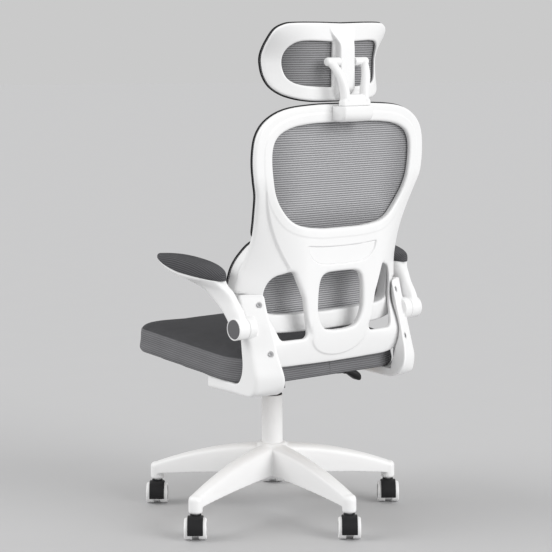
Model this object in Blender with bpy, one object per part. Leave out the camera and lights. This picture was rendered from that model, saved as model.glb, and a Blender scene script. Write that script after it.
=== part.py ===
"""Mesh-back office chair with a headrest, flip-up arms and a gas lift.

Metres, +Z up. The sitter faces -Y and the sitter's left is +X. The floor is z = 0, and the origin is the
centre of the chair's footprint, so the lift column stands at (COLUMN_X, COLUMN_Y). Shapes are written in the
column's frame, with the column's axis at x = y = 0, and a root empty carries them to their place.
"""

import math

import bmesh
import bpy
import numpy as np
from mathutils import Vector
from mathutils.geometry import delaunay_2d_cdt

# Place of the lift column in the footprint
COLUMN_X = -0.0108
COLUMN_Y = -0.0349

# Clearances
GAP = 0.0003
RUNNING = 0.0004

# Star base and lift column
LEGS = 5
BASE_TURN = math.radians(-2.1)
STEM_CIRCLE = 0.298
LEG_END_BOTTOM = 0.0583
LEG_END_TOP = 0.099
LEG_ROOT_TOP = 0.164
LEG_ROOT_BOTTOM = 0.094
LEG_ROOT_HALF = 0.026
LEG_END_HALF = 0.0165
LEG_WALL = 0.0045
SLEEVE_RADIUS = 0.0195
HUB_TOP = 0.170
HUB_BOTTOM = 0.092
HUB_RADIUS = 0.037
TUBE_RADIUS = 0.025
TUBE_WALL = 0.0025
TUBE_BOTTOM = 0.084
TUBE_TOP = 0.285
CYLINDER_RADIUS = 0.014
CYLINDER_TOP = 0.316
LIFT_STROKE = 0.10
ROD_RADIUS = 0.005
BUSH_LENGTH = 0.075

# Casters
WHEEL_RADIUS = 0.025
WHEEL_WIDTH = 0.018
WHEEL_FACETS = 16
CASTER_WEB = 0.015
CASTER_TRAIL = 0.012
CASTER_HEADING = math.radians(51.9)
HOOD_WIDTH = 0.034
HOOD_WALL = 0.0033
HOOD_BOTTOM = 0.015
AXLE_RADIUS = 0.003
STEM_RADIUS = 0.005
STEM_FLANGE = 0.009
STEM_FLANGE_THICK = 0.0022

# Tilt mechanism
TILT_Y = -0.055
TILT_Z = 0.318
TILT_SHAFT_RADIUS = 0.005
HOUSING_HALF = 0.030
HOUSING_FRONT = -0.112
HOUSING_REAR = 0.022
HOUSING_BOTTOM = 0.300
NECK_BOTTOM = 0.2885
HOUSING_TOP = 0.337
HOUSING_WALL = 0.003
PLATE_THICK = 0.004
PLATE_HALF = 0.095
PLATE_LENGTH = 0.20
LEVER_RADIUS = 0.004
LEVER_Z = 0.3265
LEVER_END = -0.274
LEVER_DROP = 0.027
PADDLE_LENGTH = 0.048
PADDLE_WIDTH = 0.030
KNOB_RADIUS = 0.026
KNOB_HEIGHT = 0.016
KNOB_Y = -0.086
SPRING_RADIUS = 0.0125
SPRING_WIRE = 0.0018
SPRING_TURNS = 4

# Seat
SEAT_HALF = 0.252
SEAT_FRONT = -0.229
SEAT_REAR = 0.222
SEAT_Z = 0.376
SEAT_SLOPE = math.radians(4.0)
SEAT_EDGE = 0.066
SEAT_CROWN = 0.011
SEAT_FRONT_CORNER = 0.048
SEAT_REAR_CORNER = 0.112
SEAT_LAP = 0.0145
PAN_INSET = 0.030
PAN_THICK = 0.012

# Back frame: half outlines in (x, z), from the top centre to the bottom centre
BACK_Y = 0.2585
BACK_Z = 0.50
BACK_LEAN = 0.042
BACK_FOOT = 0.3985
FOOT_TUCK = 0.0165
BACK_WALL = 0.018
BACK_FOOT_WALL = 0.009
FLAT_HALF = 0.10
WRAP_WAIST = 1.65
WRAP_ENDS = 0.21
WAIST_RISE = (0.44, 0.54)
WAIST_FALL = (0.69, 0.86)
SPINE_RISE = (0.44, 0.50)
SPINE_FADE = (0.74, 0.84)
WALL_RISE = (0.41, 0.48)
SPINE_STEP = 0.007
CREASE_X = 0.137
CREASE_Z = 0.614
CREASE_SLOPE = 0.379
CREASE_BLEND = 0.003
RECESS_DEPTH = 0.0025
RECESS_BROW = ((0.0, 0.6655), (0.055, 0.667), (0.100, 0.671))
RECESS_BELLY = ((0.100, 0.671), (0.094, 0.652), (0.076, 0.634), (0.05, 0.6265), (0.0, 0.6245))
CREASE_LOW = 0.635
CREASE_HIGH = 0.80
NOTCH_HALF = 0.216
FRAME_SIDE = (
    (0.0, 0.985),
    (0.09, 0.984),
    (0.165, 0.976),
    (0.212, 0.955),
    (0.238, 0.922),
    (0.2455, 0.875),
    (0.2415, 0.825),
    (0.229, 0.78),
    (0.2165, 0.70),
    (0.223, 0.64),
    (0.234, 0.585),
)
FRAME_FOOT = ((0.2125, 0.50), (0.20, 0.44), (0.175, 0.405), (0.09, 0.40), (0.0, BACK_FOOT))
TOP_WINDOW = (
    (0.0, 0.946),
    (0.11, 0.9425),
    (0.165, 0.931),
    (0.1935, 0.908),
    (0.2005, 0.867),
    (0.186, 0.803),
    (0.158, 0.755),
    (0.125, 0.722),
    (0.065, 0.7095),
    (0.0, 0.708),
)
LOW_WINDOW = (
    (0.0, 0.6135),
    (0.045, 0.6125),
    (0.058, 0.60),
    (0.07, 0.545),
    (0.064, 0.51),
    (0.045, 0.482),
    (0.02, 0.4745),
    (0.0, 0.474),
)
SIDE_WINDOW = (
    (0.1375, 0.613),
    (0.172, 0.60),
    (0.187, 0.57),
    (0.183, 0.525),
    (0.16, 0.461),
    (0.103, 0.461),
    (0.119, 0.552),
)
SIDE_WINDOW_RADII = (0.006, 0.02, 0.03, 0.05, 0.012, 0.010, 0.0)
MESH_THICK = 0.004
SHEET_GAP = 0.0024
NET_FOOT = ((0.2145, 0.70), (0.198, 0.692), (0.1, 0.6885), (0.0, 0.688))
LUMBAR_GAP = 0.0017
LUMBAR_DEPTH = 0.027
LUMBAR_BAND = 0.042
LUMBAR_FLAT_Y = 0.196
LUMBAR_BLEND = 0.02
LUMBAR_LEVEL = 0.56
LUMBAR_SIDE = (
    (0.0, 0.6935),
    (0.10, 0.6925),
    (0.165, 0.688),
    (0.195, 0.677),
    (0.212, 0.656),
    (0.2235, 0.628),
    (0.2295, 0.594),
    (0.232, 0.565),
    (0.226, 0.525),
    (0.205, 0.487),
    (0.165, 0.464),
    (0.10, 0.458),
    (0.0, 0.457),
)

# Brackets and arms; an arm's sections are height, front, rear, middle x, half thickness and share of the
# pad's tilt
BRACKET_OUTER = 0.2375
BRACKET_TOP = 0.5665
BRACKET_BOTTOM = 0.3405
BRACKET_FRONT = 0.066
BOSS_PROUD = 0.003
STRAP_GAP = 0.0041
LIMB_X = 0.202
LIMB_Y = 0.2165
LIMB_Z = 0.544
LIMB_LEAN = -0.331
LIMB_SLANT = 0.577
ARM_Y = 0.2098
ARM_Z = 0.4957
ARM_HUB_RADIUS = 0.025
ARM_HUB_OUTER = 0.270
ARM_PIN_RADIUS = 0.006
CAP_THICK = 0.003
ARM_SECTIONS = (
    (0.500, 0.188, 0.232, 0.2555, 0.0145, 0.0),
    (0.530, 0.160, 0.222, 0.2555, 0.0140, 0.0),
    (0.555, 0.124, 0.205, 0.257, 0.0135, 0.2),
    (0.577, 0.0856, 0.190, 0.261, 0.016, 0.6),
    (0.592, 0.010, 0.178, 0.266, 0.021, 1.0),
)
PAD_X = 0.270
PAD_FRONT = -0.070
PAD_REAR = 0.176
PAD_HALF = 0.0385
PAD_THICK = 0.033
PAD_Z = 0.599
PAD_SLOPE = math.radians(4.5)

# Headrest
HEAD_Y = 0.262
HEAD_Z = 1.078
HEAD_SAG = 18.2
HEAD_SAG_TOP = 8.6
HEAD_SAG_FOOT = 14.0
HEAD_TOP_RISE = 0.066
HEAD_FOOT_DROP = 0.077
HEAD_LEAN = 0.03
HEAD_WALL = 0.010
HEAD_SIDE = (
    (0.0, 1.162),
    (0.06, 1.1635),
    (0.12, 1.1635),
    (0.142, 1.1605),
    (0.1595, 1.149),
    (0.165, 1.1255),
    (0.164, 1.086),
    (0.160, 1.045),
    (0.149, 1.0185),
    (0.124, 1.0015),
    (0.078, 0.9925),
    (0.0, 0.9915),
)
HEAD_WINDOW = (
    (0.026, 1.122),
    (0.09, 1.1245),
    (0.122, 1.111),
    (0.1345, 1.08),
    (0.13, 1.055),
    (0.112, 1.033),
    (0.08, 1.0255),
    (0.026, 1.022),
)
HEAD_BAND = 0.031
HEAD_BAR_HALF = 0.0165
HEAD_BAR_REAR = 0.284
HEAD_BAR_RISE = 0.078
HEAD_BAR_DROP = 0.074
HEAD_PIVOT_Y = 0.2765
HEAD_PIN_RADIUS = 0.004
FORK_HALF = 0.060
FORK_Y = 0.2965
FORK_ARM_RADIUS = 0.0085
FORK_BOSS_RADIUS = 0.0098
SHOULDER_HALF = 0.038
SHOULDER_THICK = 0.021
SHOULDER_TALL = 0.022
SADDLE_HALF = 0.040
SADDLE_REAR = 0.312
SADDLE_BOTTOM = 0.946
SADDLE_TOP = 0.981
TONGUE_HALF = 0.021
TONGUE_THICK = 0.012

WHITE = (0.86, 0.86, 0.86)
BLACK = (0.015, 0.015, 0.016)
STEEL = (0.62, 0.62, 0.64)
CLOTH = (0.09, 0.09, 0.095)
NET = (0.22, 0.22, 0.23)


def clear_scene():
    for old in list(bpy.data.objects):
        bpy.data.objects.remove(old)


def finish(name, colour, roughness, metallic=0.0):
    """A Principled material with this name, made once."""
    made = bpy.data.materials.get(name)
    if made is None:
        made = bpy.data.materials.new(name)
        made.use_nodes = True
        shader = made.node_tree.nodes["Principled BSDF"]
        shader.inputs["Base Color"].default_value = (*colour, 1.0)
        shader.inputs["Roughness"].default_value = roughness
        shader.inputs["Metallic"].default_value = metallic
    return made


def axis_empty(name, at, parent=None, turn=(0.0, 0.0, 0.0)):
    """An empty at a place in the column's frame, for the pieces that move about it."""
    marker = bpy.data.objects.new(name, None)
    marker.empty_display_size = 0.03
    bpy.context.scene.collection.objects.link(marker)
    marker["at"] = tuple(at)
    origin = Vector(parent["at"]) if parent else Vector((0.0, 0.0, 0.0))
    marker.location = Vector(at) - origin
    marker.rotation_euler = turn
    marker.parent = parent
    return marker


def piece(name, bm, look, parent, local=False, smooth=35.0):
    """A named object from a bmesh in the column's frame, or in its parent's own frame where local is set."""
    if not local:
        bmesh.ops.translate(bm, vec=-Vector(parent["at"]), verts=bm.verts)
    bmesh.ops.recalc_face_normals(bm, faces=bm.faces)
    mesh = bpy.data.meshes.new(name)
    bm.to_mesh(mesh)
    bm.free()
    mesh.shade_smooth()
    mesh.set_sharp_from_angle(angle=math.radians(smooth))
    obj = bpy.data.objects.new(name, mesh)
    bpy.context.scene.collection.objects.link(obj)
    obj.parent = parent
    if look:
        mesh.materials.append(look)
    return obj


def helper(name, bm, parent, local=False):
    """A hidden cutter or a form that another piece takes up."""
    obj = piece(name, bm, None, parent, local)
    obj.hide_render = True
    obj.display_type = "WIRE"
    return obj


def combine(obj, tool, operation):
    step = obj.modifiers.new(tool.name, "BOOLEAN")
    step.operation = operation
    step.solver = "EXACT"
    step.object = tool
    return step


def cut(obj, tool):
    return combine(obj, tool, "DIFFERENCE")


def join(obj, tool):
    return combine(obj, tool, "UNION")


def turned(profile, steps, centre=(0.0, 0.0, 0.0), axis="Z", into=None):
    """Revolves a closed (radius, height) profile; points at radius 0 become poles on the axis."""
    bm = into or bmesh.new()
    half = math.pi / steps
    rings = []
    for radius, height in profile:
        if radius < 1e-7:
            rings.append([bm.verts.new(axis_point(0.0, 0.0, height, centre, axis))])
            continue
        ring = []
        for k in range(steps):
            turn = 2.0 * math.pi * k / steps + half
            place = axis_point(radius * math.cos(turn), radius * math.sin(turn), height, centre, axis)
            ring.append(bm.verts.new(place))
        rings.append(ring)
    for first, second in zip(rings, rings[1:] + rings[:1]):
        if len(first) == 1 and len(second) == 1:
            continue
        for k in range(steps):
            corners = [first[k % len(first)], first[(k + 1) % len(first)]]
            corners += [second[(k + 1) % len(second)], second[k % len(second)]]
            bm.faces.new(list(dict.fromkeys(corners)))
    return bm


def axis_point(across, along, height, centre, axis):
    """A point of a turned form whose axis runs along X, Y or Z."""
    if axis == "X":
        local = (height, across, along)
    elif axis == "Y":
        local = (across, height, along)
    else:
        local = (across, along, height)
    return Vector(local) + Vector(centre)


def rod_form(radius, low, high, steps, centre=(0.0, 0.0, 0.0), axis="Z", into=None):
    return turned([(0.0, low), (radius, low), (radius, high), (0.0, high)], steps, centre, axis, into)


def lofted(rings, into=None):
    """Skins a list of rings, each an (n, 3) array, and closes both ends."""
    bm = into or bmesh.new()
    made = [[bm.verts.new(point) for point in ring] for ring in rings]
    for first, second in zip(made, made[1:]):
        for k in range(len(first)):
            j = (k + 1) % len(first)
            bm.faces.new((first[k], first[j], second[j], second[k]))
    bm.faces.new(made[0][::-1])
    bm.faces.new(made[-1])
    return bm


def rounded(corners, radii, steps=3):
    """A closed outline whose corners are arcs of the given radii, as an (n, 2) array."""
    points = np.asarray(corners, float)
    count = len(points)
    outline = []
    for k in range(count):
        here, before, after = points[k], points[k - 1], points[(k + 1) % count]
        if radii[k] < 1e-6:
            outline.append(here)
            continue
        back = (before - here) / np.linalg.norm(before - here)
        ahead = (after - here) / np.linalg.norm(after - here)
        half = 0.5 * math.acos(float(np.clip(back @ ahead, -1.0, 1.0)))
        reach = radii[k] / math.tan(half)
        start, end = here + back * reach, here + ahead * reach
        middle = here + (back + ahead) / np.linalg.norm(back + ahead) * radii[k] / math.sin(half)
        for s in range(steps + 1):
            way = start + (end - start) * s / steps - middle
            outline.append(middle + way / np.linalg.norm(way) * radii[k])
    return np.array(outline)


def prism(outline, low, high, into=None, plane="XY"):
    """Extrudes a 2-D outline between two heights, square to the XY or the YZ plane."""
    rings = []
    for height in (low, high):
        level = np.full(len(outline), height)
        if plane == "YZ":
            rings.append(np.column_stack([level, outline[:, 0], outline[:, 1]]))
        else:
            rings.append(np.column_stack([outline[:, 0], outline[:, 1], level]))
    return lofted(rings, into)


def curve_through(points, per_span, closed=False):
    """Points along a Catmull-Rom curve through the given ones."""
    knots = np.asarray(points, float)
    if closed:
        knots = np.vstack([knots[-1:], knots, knots[:2]])
    else:
        knots = np.vstack([2.0 * knots[0] - knots[1], knots, 2.0 * knots[-1] - knots[-2]])
    made = []
    for a, b, c, d in zip(knots, knots[1:], knots[2:], knots[3:]):
        for t in np.arange(per_span) / per_span:
            made.append(
                0.5
                * (2 * b + (c - a) * t + (2 * a - 5 * b + 4 * c - d) * t**2 + (3 * b - a - 3 * c + d) * t**3)
            )
    if not closed:
        made.append(knots[-2])
    return np.array(made)


def mirrored_loop(half):
    """A closed outline from its +X half, which runs from the top centre to the bottom centre."""
    half = np.asarray(half, float)
    return np.vstack([half, (half * (-1.0, 1.0))[-2:0:-1]])


def inside(points, loop):
    """Which points lie inside a closed loop, by counting crossings."""
    x, z = points[:, 0][:, None], points[:, 1][:, None]
    ax, az = loop[:, 0], loop[:, 1]
    bx, bz = np.roll(ax, -1), np.roll(az, -1)
    spans = (az > z) != (bz > z)
    rise = np.where(bz == az, 1e-12, bz - az)
    return ((x < ax + (z - az) / rise * (bx - ax)) & spans).sum(axis=1) % 2 == 1


def distance_to(points, loop):
    start, end = loop, np.roll(loop, -1, axis=0)
    way = end - start
    length = np.maximum((way**2).sum(axis=1), 1e-12)
    share = ((points[:, None, :] - start) * way).sum(axis=2) / length
    nearest = start + np.clip(share, 0.0, 1.0)[..., None] * way
    return np.linalg.norm(points[:, None, :] - nearest, axis=2).min(axis=1)


def offset_loop(loop, distance):
    """The loop moved towards its inside, by each point's mean edge normal."""
    area = np.sum(loop[:, 0] * np.roll(loop[:, 1], -1) - np.roll(loop[:, 0], -1) * loop[:, 1])
    way = np.roll(loop, -1, axis=0) - loop
    way /= np.linalg.norm(way, axis=1)[:, None]
    normal = np.column_stack([-way[:, 1], way[:, 0]]) * np.sign(area)
    mean = normal + np.roll(normal, 1, axis=0)
    mean /= np.maximum((mean**2).sum(axis=1) / 2.0, 0.5)[:, None]
    return loop + mean * distance


def curved_plate(outline, holes, front, rear, chamfer, spacing, lines=()):
    """A plate in the XZ plane with windows, bent between a front and a rear surface y(x, z).

    Its faces are triangulated over a grid, so that they follow the bend, and its edges are chamfered.
    """
    loops = [np.asarray(outline, float)] + [np.asarray(hole, float) for hole in holes]
    faces_of = [offset_loop(loops[0], chamfer)] + [offset_loop(hole, -chamfer) for hole in loops[1:]]
    faces_of = [loop.astype(np.float32).astype(float) for loop in faces_of]
    low, high = faces_of[0].min(axis=0), faces_of[0].max(axis=0)
    grid_x = np.arange(math.ceil(low[0] / spacing), high[0] / spacing) * spacing
    grid_z = np.arange(math.ceil(low[1] / spacing), high[1] / spacing) * spacing
    grid = np.array([(x, z) for z in grid_z for x in grid_x])
    keep = inside(grid, faces_of[0])
    for hole in faces_of[1:]:
        keep &= ~inside(grid, hole)
    for loop in faces_of:
        keep &= distance_to(grid, loop) > 0.5 * spacing
    for line in lines:
        keep &= np.linalg.norm(grid[:, None, :] - line, axis=2).min(axis=1) > 0.5 * spacing
    points, edges, starts = [], [], []
    for loop in faces_of:
        starts.append(len(points))
        edges += [(starts[-1] + k, starts[-1] + (k + 1) % len(loop)) for k in range(len(loop))]
        points += list(loop)
    for line in lines:
        edges += [(len(points) + k, len(points) + k + 1) for k in range(len(line) - 1)]
        points += list(line)
    points += list(grid[keep])
    found, _, triangles, origin, _, _ = delaunay_2d_cdt([Vector(p) for p in points], edges, [], 0, 1e-6)
    flat = np.array([tuple(p) for p in found], float)
    middle = flat[np.array(triangles)].mean(axis=1)
    wanted = inside(middle, faces_of[0])
    for hole in faces_of[1:]:
        wanted &= ~inside(middle, hole)
    triangles = np.array(triangles)[wanted]
    new_of = {source: k for k, sources in enumerate(origin) for source in sources}

    bm = bmesh.new()
    sides = []
    for surface in (front, rear):
        y = surface(flat[:, 0], flat[:, 1])
        sides.append([bm.verts.new((x, depth, z)) for (x, z), depth in zip(flat, y)])
    for a, b, c in triangles:
        bm.faces.new((sides[0][a], sides[0][b], sides[0][c]))
        bm.faces.new((sides[1][c], sides[1][b], sides[1][a]))
    for loop, start in zip(loops, starts):
        y_front, y_rear = front(loop[:, 0], loop[:, 1]), rear(loop[:, 0], loop[:, 1])
        bevel = np.minimum(chamfer, 0.4 * (y_rear - y_front))
        near = [bm.verts.new((x, y, z)) for (x, z), y in zip(loop, y_front + bevel)]
        far = [bm.verts.new((x, y, z)) for (x, z), y in zip(loop, y_rear - bevel)]
        rims = [[sides[0][new_of[start + k]] for k in range(len(loop))], near, far]
        rims.append([sides[1][new_of[start + k]] for k in range(len(loop))])
        for first, second in zip(rims, rims[1:]):
            for k in range(len(loop)):
                j = (k + 1) % len(loop)
                bm.faces.new((first[k], first[j], second[j], second[k]))
    bmesh.ops.delete(bm, geom=[v for v in bm.verts if not v.link_faces], context="VERTS")
    return bm


def eased(low, high, value):
    share = np.clip((np.asarray(value, float) - low) / (high - low), 0.0, 1.0)
    return share * share * (3.0 - 2.0 * share)


def swept(path, radius, sides, into=None):
    """A round tube along a path of points, with filled ends; its rings turn with the path and never twist."""
    path = np.asarray(path, float)
    way = np.gradient(path, axis=0)
    way /= np.linalg.norm(way, axis=1)[:, None]
    side = np.cross(way[0], (0.0, 0.0, 1.0) if abs(way[0][2]) < 0.9 else (1.0, 0.0, 0.0))
    rings = []
    for point, ahead in zip(path, way):
        side = side - ahead * (side @ ahead)
        side = side / np.linalg.norm(side)
        other = np.cross(ahead, side)
        turn = 2.0 * np.pi * (np.arange(sides) + 0.5) / sides
        rings.append(point + radius * (np.cos(turn)[:, None] * side + np.sin(turn)[:, None] * other))
    return lofted(rings, into)


def least_gap(path, wire, apart):
    """The least clear distance between stretches of a tube that lie more than this far apart along it."""
    path = np.asarray(path, float)
    length = np.concatenate([[0.0], np.cumsum(np.linalg.norm(np.diff(path, axis=0), axis=1))])
    far = np.abs(length[:, None] - length[None, :]) > apart
    distance = np.linalg.norm(path[:, None] - path[None], axis=2)
    return distance[far].min() - 2.0 * wire


def leg_turn(k):
    return math.radians(90.0) + 2.0 * math.pi * k / LEGS


def leg_end(k):
    return Vector((STEM_CIRCLE * math.cos(leg_turn(k)), STEM_CIRCLE * math.sin(leg_turn(k)), 0.0))


def leg_rings():
    """Cross-sections of a leg along +X: a crowned top, drafted sides and a channel open below."""
    start = 0.75 * HUB_RADIUS
    rings = []
    for share in np.linspace(0.0, 1.0, 6):
        droop = 0.35 * share + 0.65 * share**2
        top = LEG_ROOT_TOP + (LEG_END_TOP - 0.002 - LEG_ROOT_TOP) * droop
        low = LEG_ROOT_BOTTOM + (LEG_END_BOTTOM + 0.009 - LEG_ROOT_BOTTOM) * droop
        half = LEG_ROOT_HALF + (LEG_END_HALF - LEG_ROOT_HALF) * share
        tall = top - low
        hollow = 0.002 + 0.55 * tall * min(1.0, share / 0.2) * min(1.0, (1.0 - share) / 0.2)
        slot = half - LEG_WALL
        right = [(half, low), (0.97 * half, low + 0.55 * tall)]
        right += [(0.8 * half, low + 0.86 * tall), (0.4 * half, top)]
        under = [(slot - 0.002, low + hollow), (slot, low)]
        section = [(-s, z) for s, z in right] + right[::-1] + under[::-1] + [(-s, z) for s, z in under]
        radius = start + (STEM_CIRCLE - start) * share
        rings.append(np.array([(radius, s, z) for s, z in section]))
    return rings


def rib_box(radius, half, low, high):
    """A thin cross rib under a leg, at this distance from the hub."""
    thick = 0.00125
    near, far = radius - thick, radius + thick
    return np.array([(near, -half), (far, -half), (far, half), (near, half)]), low, high


def make_star_base(carrier):
    look = finish("white_nylon", WHITE, 0.42)
    flare = HUB_RADIUS + 0.005
    hub = turned(
        [
            (0.0, HUB_BOTTOM),
            (flare - 0.002, HUB_BOTTOM),
            (flare, HUB_BOTTOM + 0.004),
            (HUB_RADIUS, HUB_TOP - 0.012),
            (HUB_RADIUS - 0.003, HUB_TOP - 0.002),
            (HUB_RADIUS - 0.006, HUB_TOP),
            (0.0, HUB_TOP),
        ],
        24,
    )
    base = piece("star_base", hub, look, carrier)
    rings = leg_rings()
    for k in range(LEGS):
        turn = leg_turn(k)
        sine, cosine = math.sin(turn), math.cos(turn)
        spin = np.array([[cosine, -sine, 0.0], [sine, cosine, 0.0], [0.0, 0.0, 1.0]])
        join(base, helper(f"leg_form_{k + 1}", lofted([ring @ spin.T for ring in rings]), carrier))
        sleeve = [
            (0.0, LEG_END_BOTTOM),
            (SLEEVE_RADIUS - 0.002, LEG_END_BOTTOM),
            (SLEEVE_RADIUS, LEG_END_BOTTOM + 0.003),
            (SLEEVE_RADIUS, LEG_END_TOP - 0.012),
            (0.85 * SLEEVE_RADIUS, LEG_END_TOP - 0.004),
            (0.45 * SLEEVE_RADIUS, LEG_END_TOP),
            (0.0, LEG_END_TOP),
        ]
        join(base, helper(f"sleeve_form_{k + 1}", turned(sleeve, 12, leg_end(k)), carrier))
        ribs = bmesh.new()
        for ring in (rings[2], rings[3]):
            half = ring[9][1] + 0.001
            outline, low, high = rib_box(ring[0][0], half, ring[0][2] + 0.004, ring[9][2] + 0.002)
            turned_outline = outline @ spin[:2, :2].T
            prism(turned_outline, low, high, ribs)
        join(base, helper(f"rib_form_{k + 1}", ribs, carrier))
    bores = rod_form(TUBE_RADIUS + GAP, HUB_BOTTOM - 0.02, HUB_TOP + 0.02, 24)
    for k in range(LEGS):
        rod_form(STEM_RADIUS + GAP, LEG_END_BOTTOM - 0.01, LEG_END_BOTTOM + 0.036, 10, leg_end(k), "Z", bores)
    cut(base, helper("base_bores", bores, carrier))


def make_casters(root, carrier):
    hood_look = finish("black_nylon", BLACK, 0.45)
    wheel_look = finish("white_tread", WHITE, 0.4)
    stem_look = finish("stem_steel", STEEL, 0.3, 1.0)
    flange_top = LEG_END_BOTTOM - GAP
    flange_low = flange_top - STEM_FLANGE_THICK
    stem_low = WHEEL_RADIUS + AXLE_RADIUS + 0.007
    for k in range(LEGS):
        stem = turned(
            [
                (0.0, stem_low),
                (STEM_RADIUS, stem_low),
                (STEM_RADIUS, flange_low),
                (STEM_FLANGE, flange_low),
                (STEM_FLANGE, flange_top),
                (STEM_RADIUS, flange_top),
                (STEM_RADIUS, LEG_END_BOTTOM + 0.034),
                (0.0, LEG_END_BOTTOM + 0.035),
            ],
            10,
            leg_end(k),
        )
        piece(f"caster_stem_{k + 1}", stem, stem_look, carrier)
        turn = leg_turn(k) + BASE_TURN
        place = (STEM_CIRCLE * math.cos(turn), STEM_CIRCLE * math.sin(turn), 0.0)
        swivel = axis_empty(f"caster_swivel_{k + 1}", place, root, (0.0, 0.0, CASTER_HEADING))
        make_hood(f"caster_hood_{k + 1}", swivel, hood_look, stem_low, flange_low)
        for name, side in (("left", 1.0), ("right", -1.0)):
            make_wheel(f"wheel_{name}_{k + 1}", swivel, wheel_look, side)


def make_hood(name, swivel, look, stem_low, boss_top):
    """The caster's hood: a web between the wheels, a roof over them and the axle's two ends."""
    well = WHEEL_RADIUS / math.cos(math.pi / WHEEL_FACETS) + 0.001
    outer = well + HOOD_WALL
    low = math.asin((HOOD_BOTTOM - WHEEL_RADIUS) / outer)
    sweep = np.linspace(low, math.radians(150.0), 9)
    arc = np.column_stack([CASTER_TRAIL + outer * np.cos(sweep), WHEEL_RADIUS + outer * np.sin(sweep)])
    outline = np.vstack([arc, [(CASTER_TRAIL - 0.62 * outer, HOOD_BOTTOM)]])
    rings = []
    for y in (-HOOD_WIDTH / 2.0, HOOD_WIDTH / 2.0):
        rings.append(np.column_stack([outline[:, 0], np.full(len(outline), y), outline[:, 1]]))
    hood = piece(name, lofted(rings), look, swivel, True)
    centre = (CASTER_TRAIL, 0.0, WHEEL_RADIUS)
    wells = bmesh.new()
    for side in (1.0, -1.0):
        ends = sorted((side * CASTER_WEB / 2.0, side * HOOD_WIDTH))
        rod_form(well, *ends, WHEEL_FACETS, centre, "Y", wells)
    cut(hood, helper(f"{name}_wells", wells, swivel, True))
    tip = CASTER_WEB / 2.0 + GAP + 0.88 * WHEEL_WIDTH
    axle = rod_form(AXLE_RADIUS, -tip, tip, 8, centre, "Y")
    join(hood, helper(f"{name}_axle", axle, swivel, True))
    boss = rod_form(CASTER_WEB / 2.0, stem_low - 0.004, boss_top - GAP, 10)
    join(hood, helper(f"{name}_boss", boss, swivel, True))
    socket = rod_form(STEM_RADIUS + RUNNING, stem_low - GAP, boss_top + 0.01, 10)
    cut(hood, helper(f"{name}_socket", socket, swivel, True))


def make_wheel(name, swivel, look, side):
    """One wheel of the pair, turned about its axle: a dished outer face and a flat facet on the floor."""
    rim = WHEEL_RADIUS / math.cos(math.pi / WHEEL_FACETS)
    inner = CASTER_WEB / 2.0 + GAP
    outer = inner + WHEEL_WIDTH
    bore = AXLE_RADIUS + GAP
    profile = [
        (bore, inner),
        (rim, inner),
        (rim, outer - 0.004),
        (rim - 0.004, outer),
        (rim - 0.0075, outer),
        (rim - 0.009, outer - 0.0022),
        (bore, outer - 0.0022),
    ]
    hub = axis_empty(f"{name}_axle", swivel["at"], swivel)
    hub.location = (CASTER_TRAIL, 0.0, WHEEL_RADIUS)
    form = turned([(radius, side * y) for radius, y in profile], WHEEL_FACETS, (0.0, 0.0, 0.0), "Y")
    piece(name, form, look, hub, True)


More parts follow.
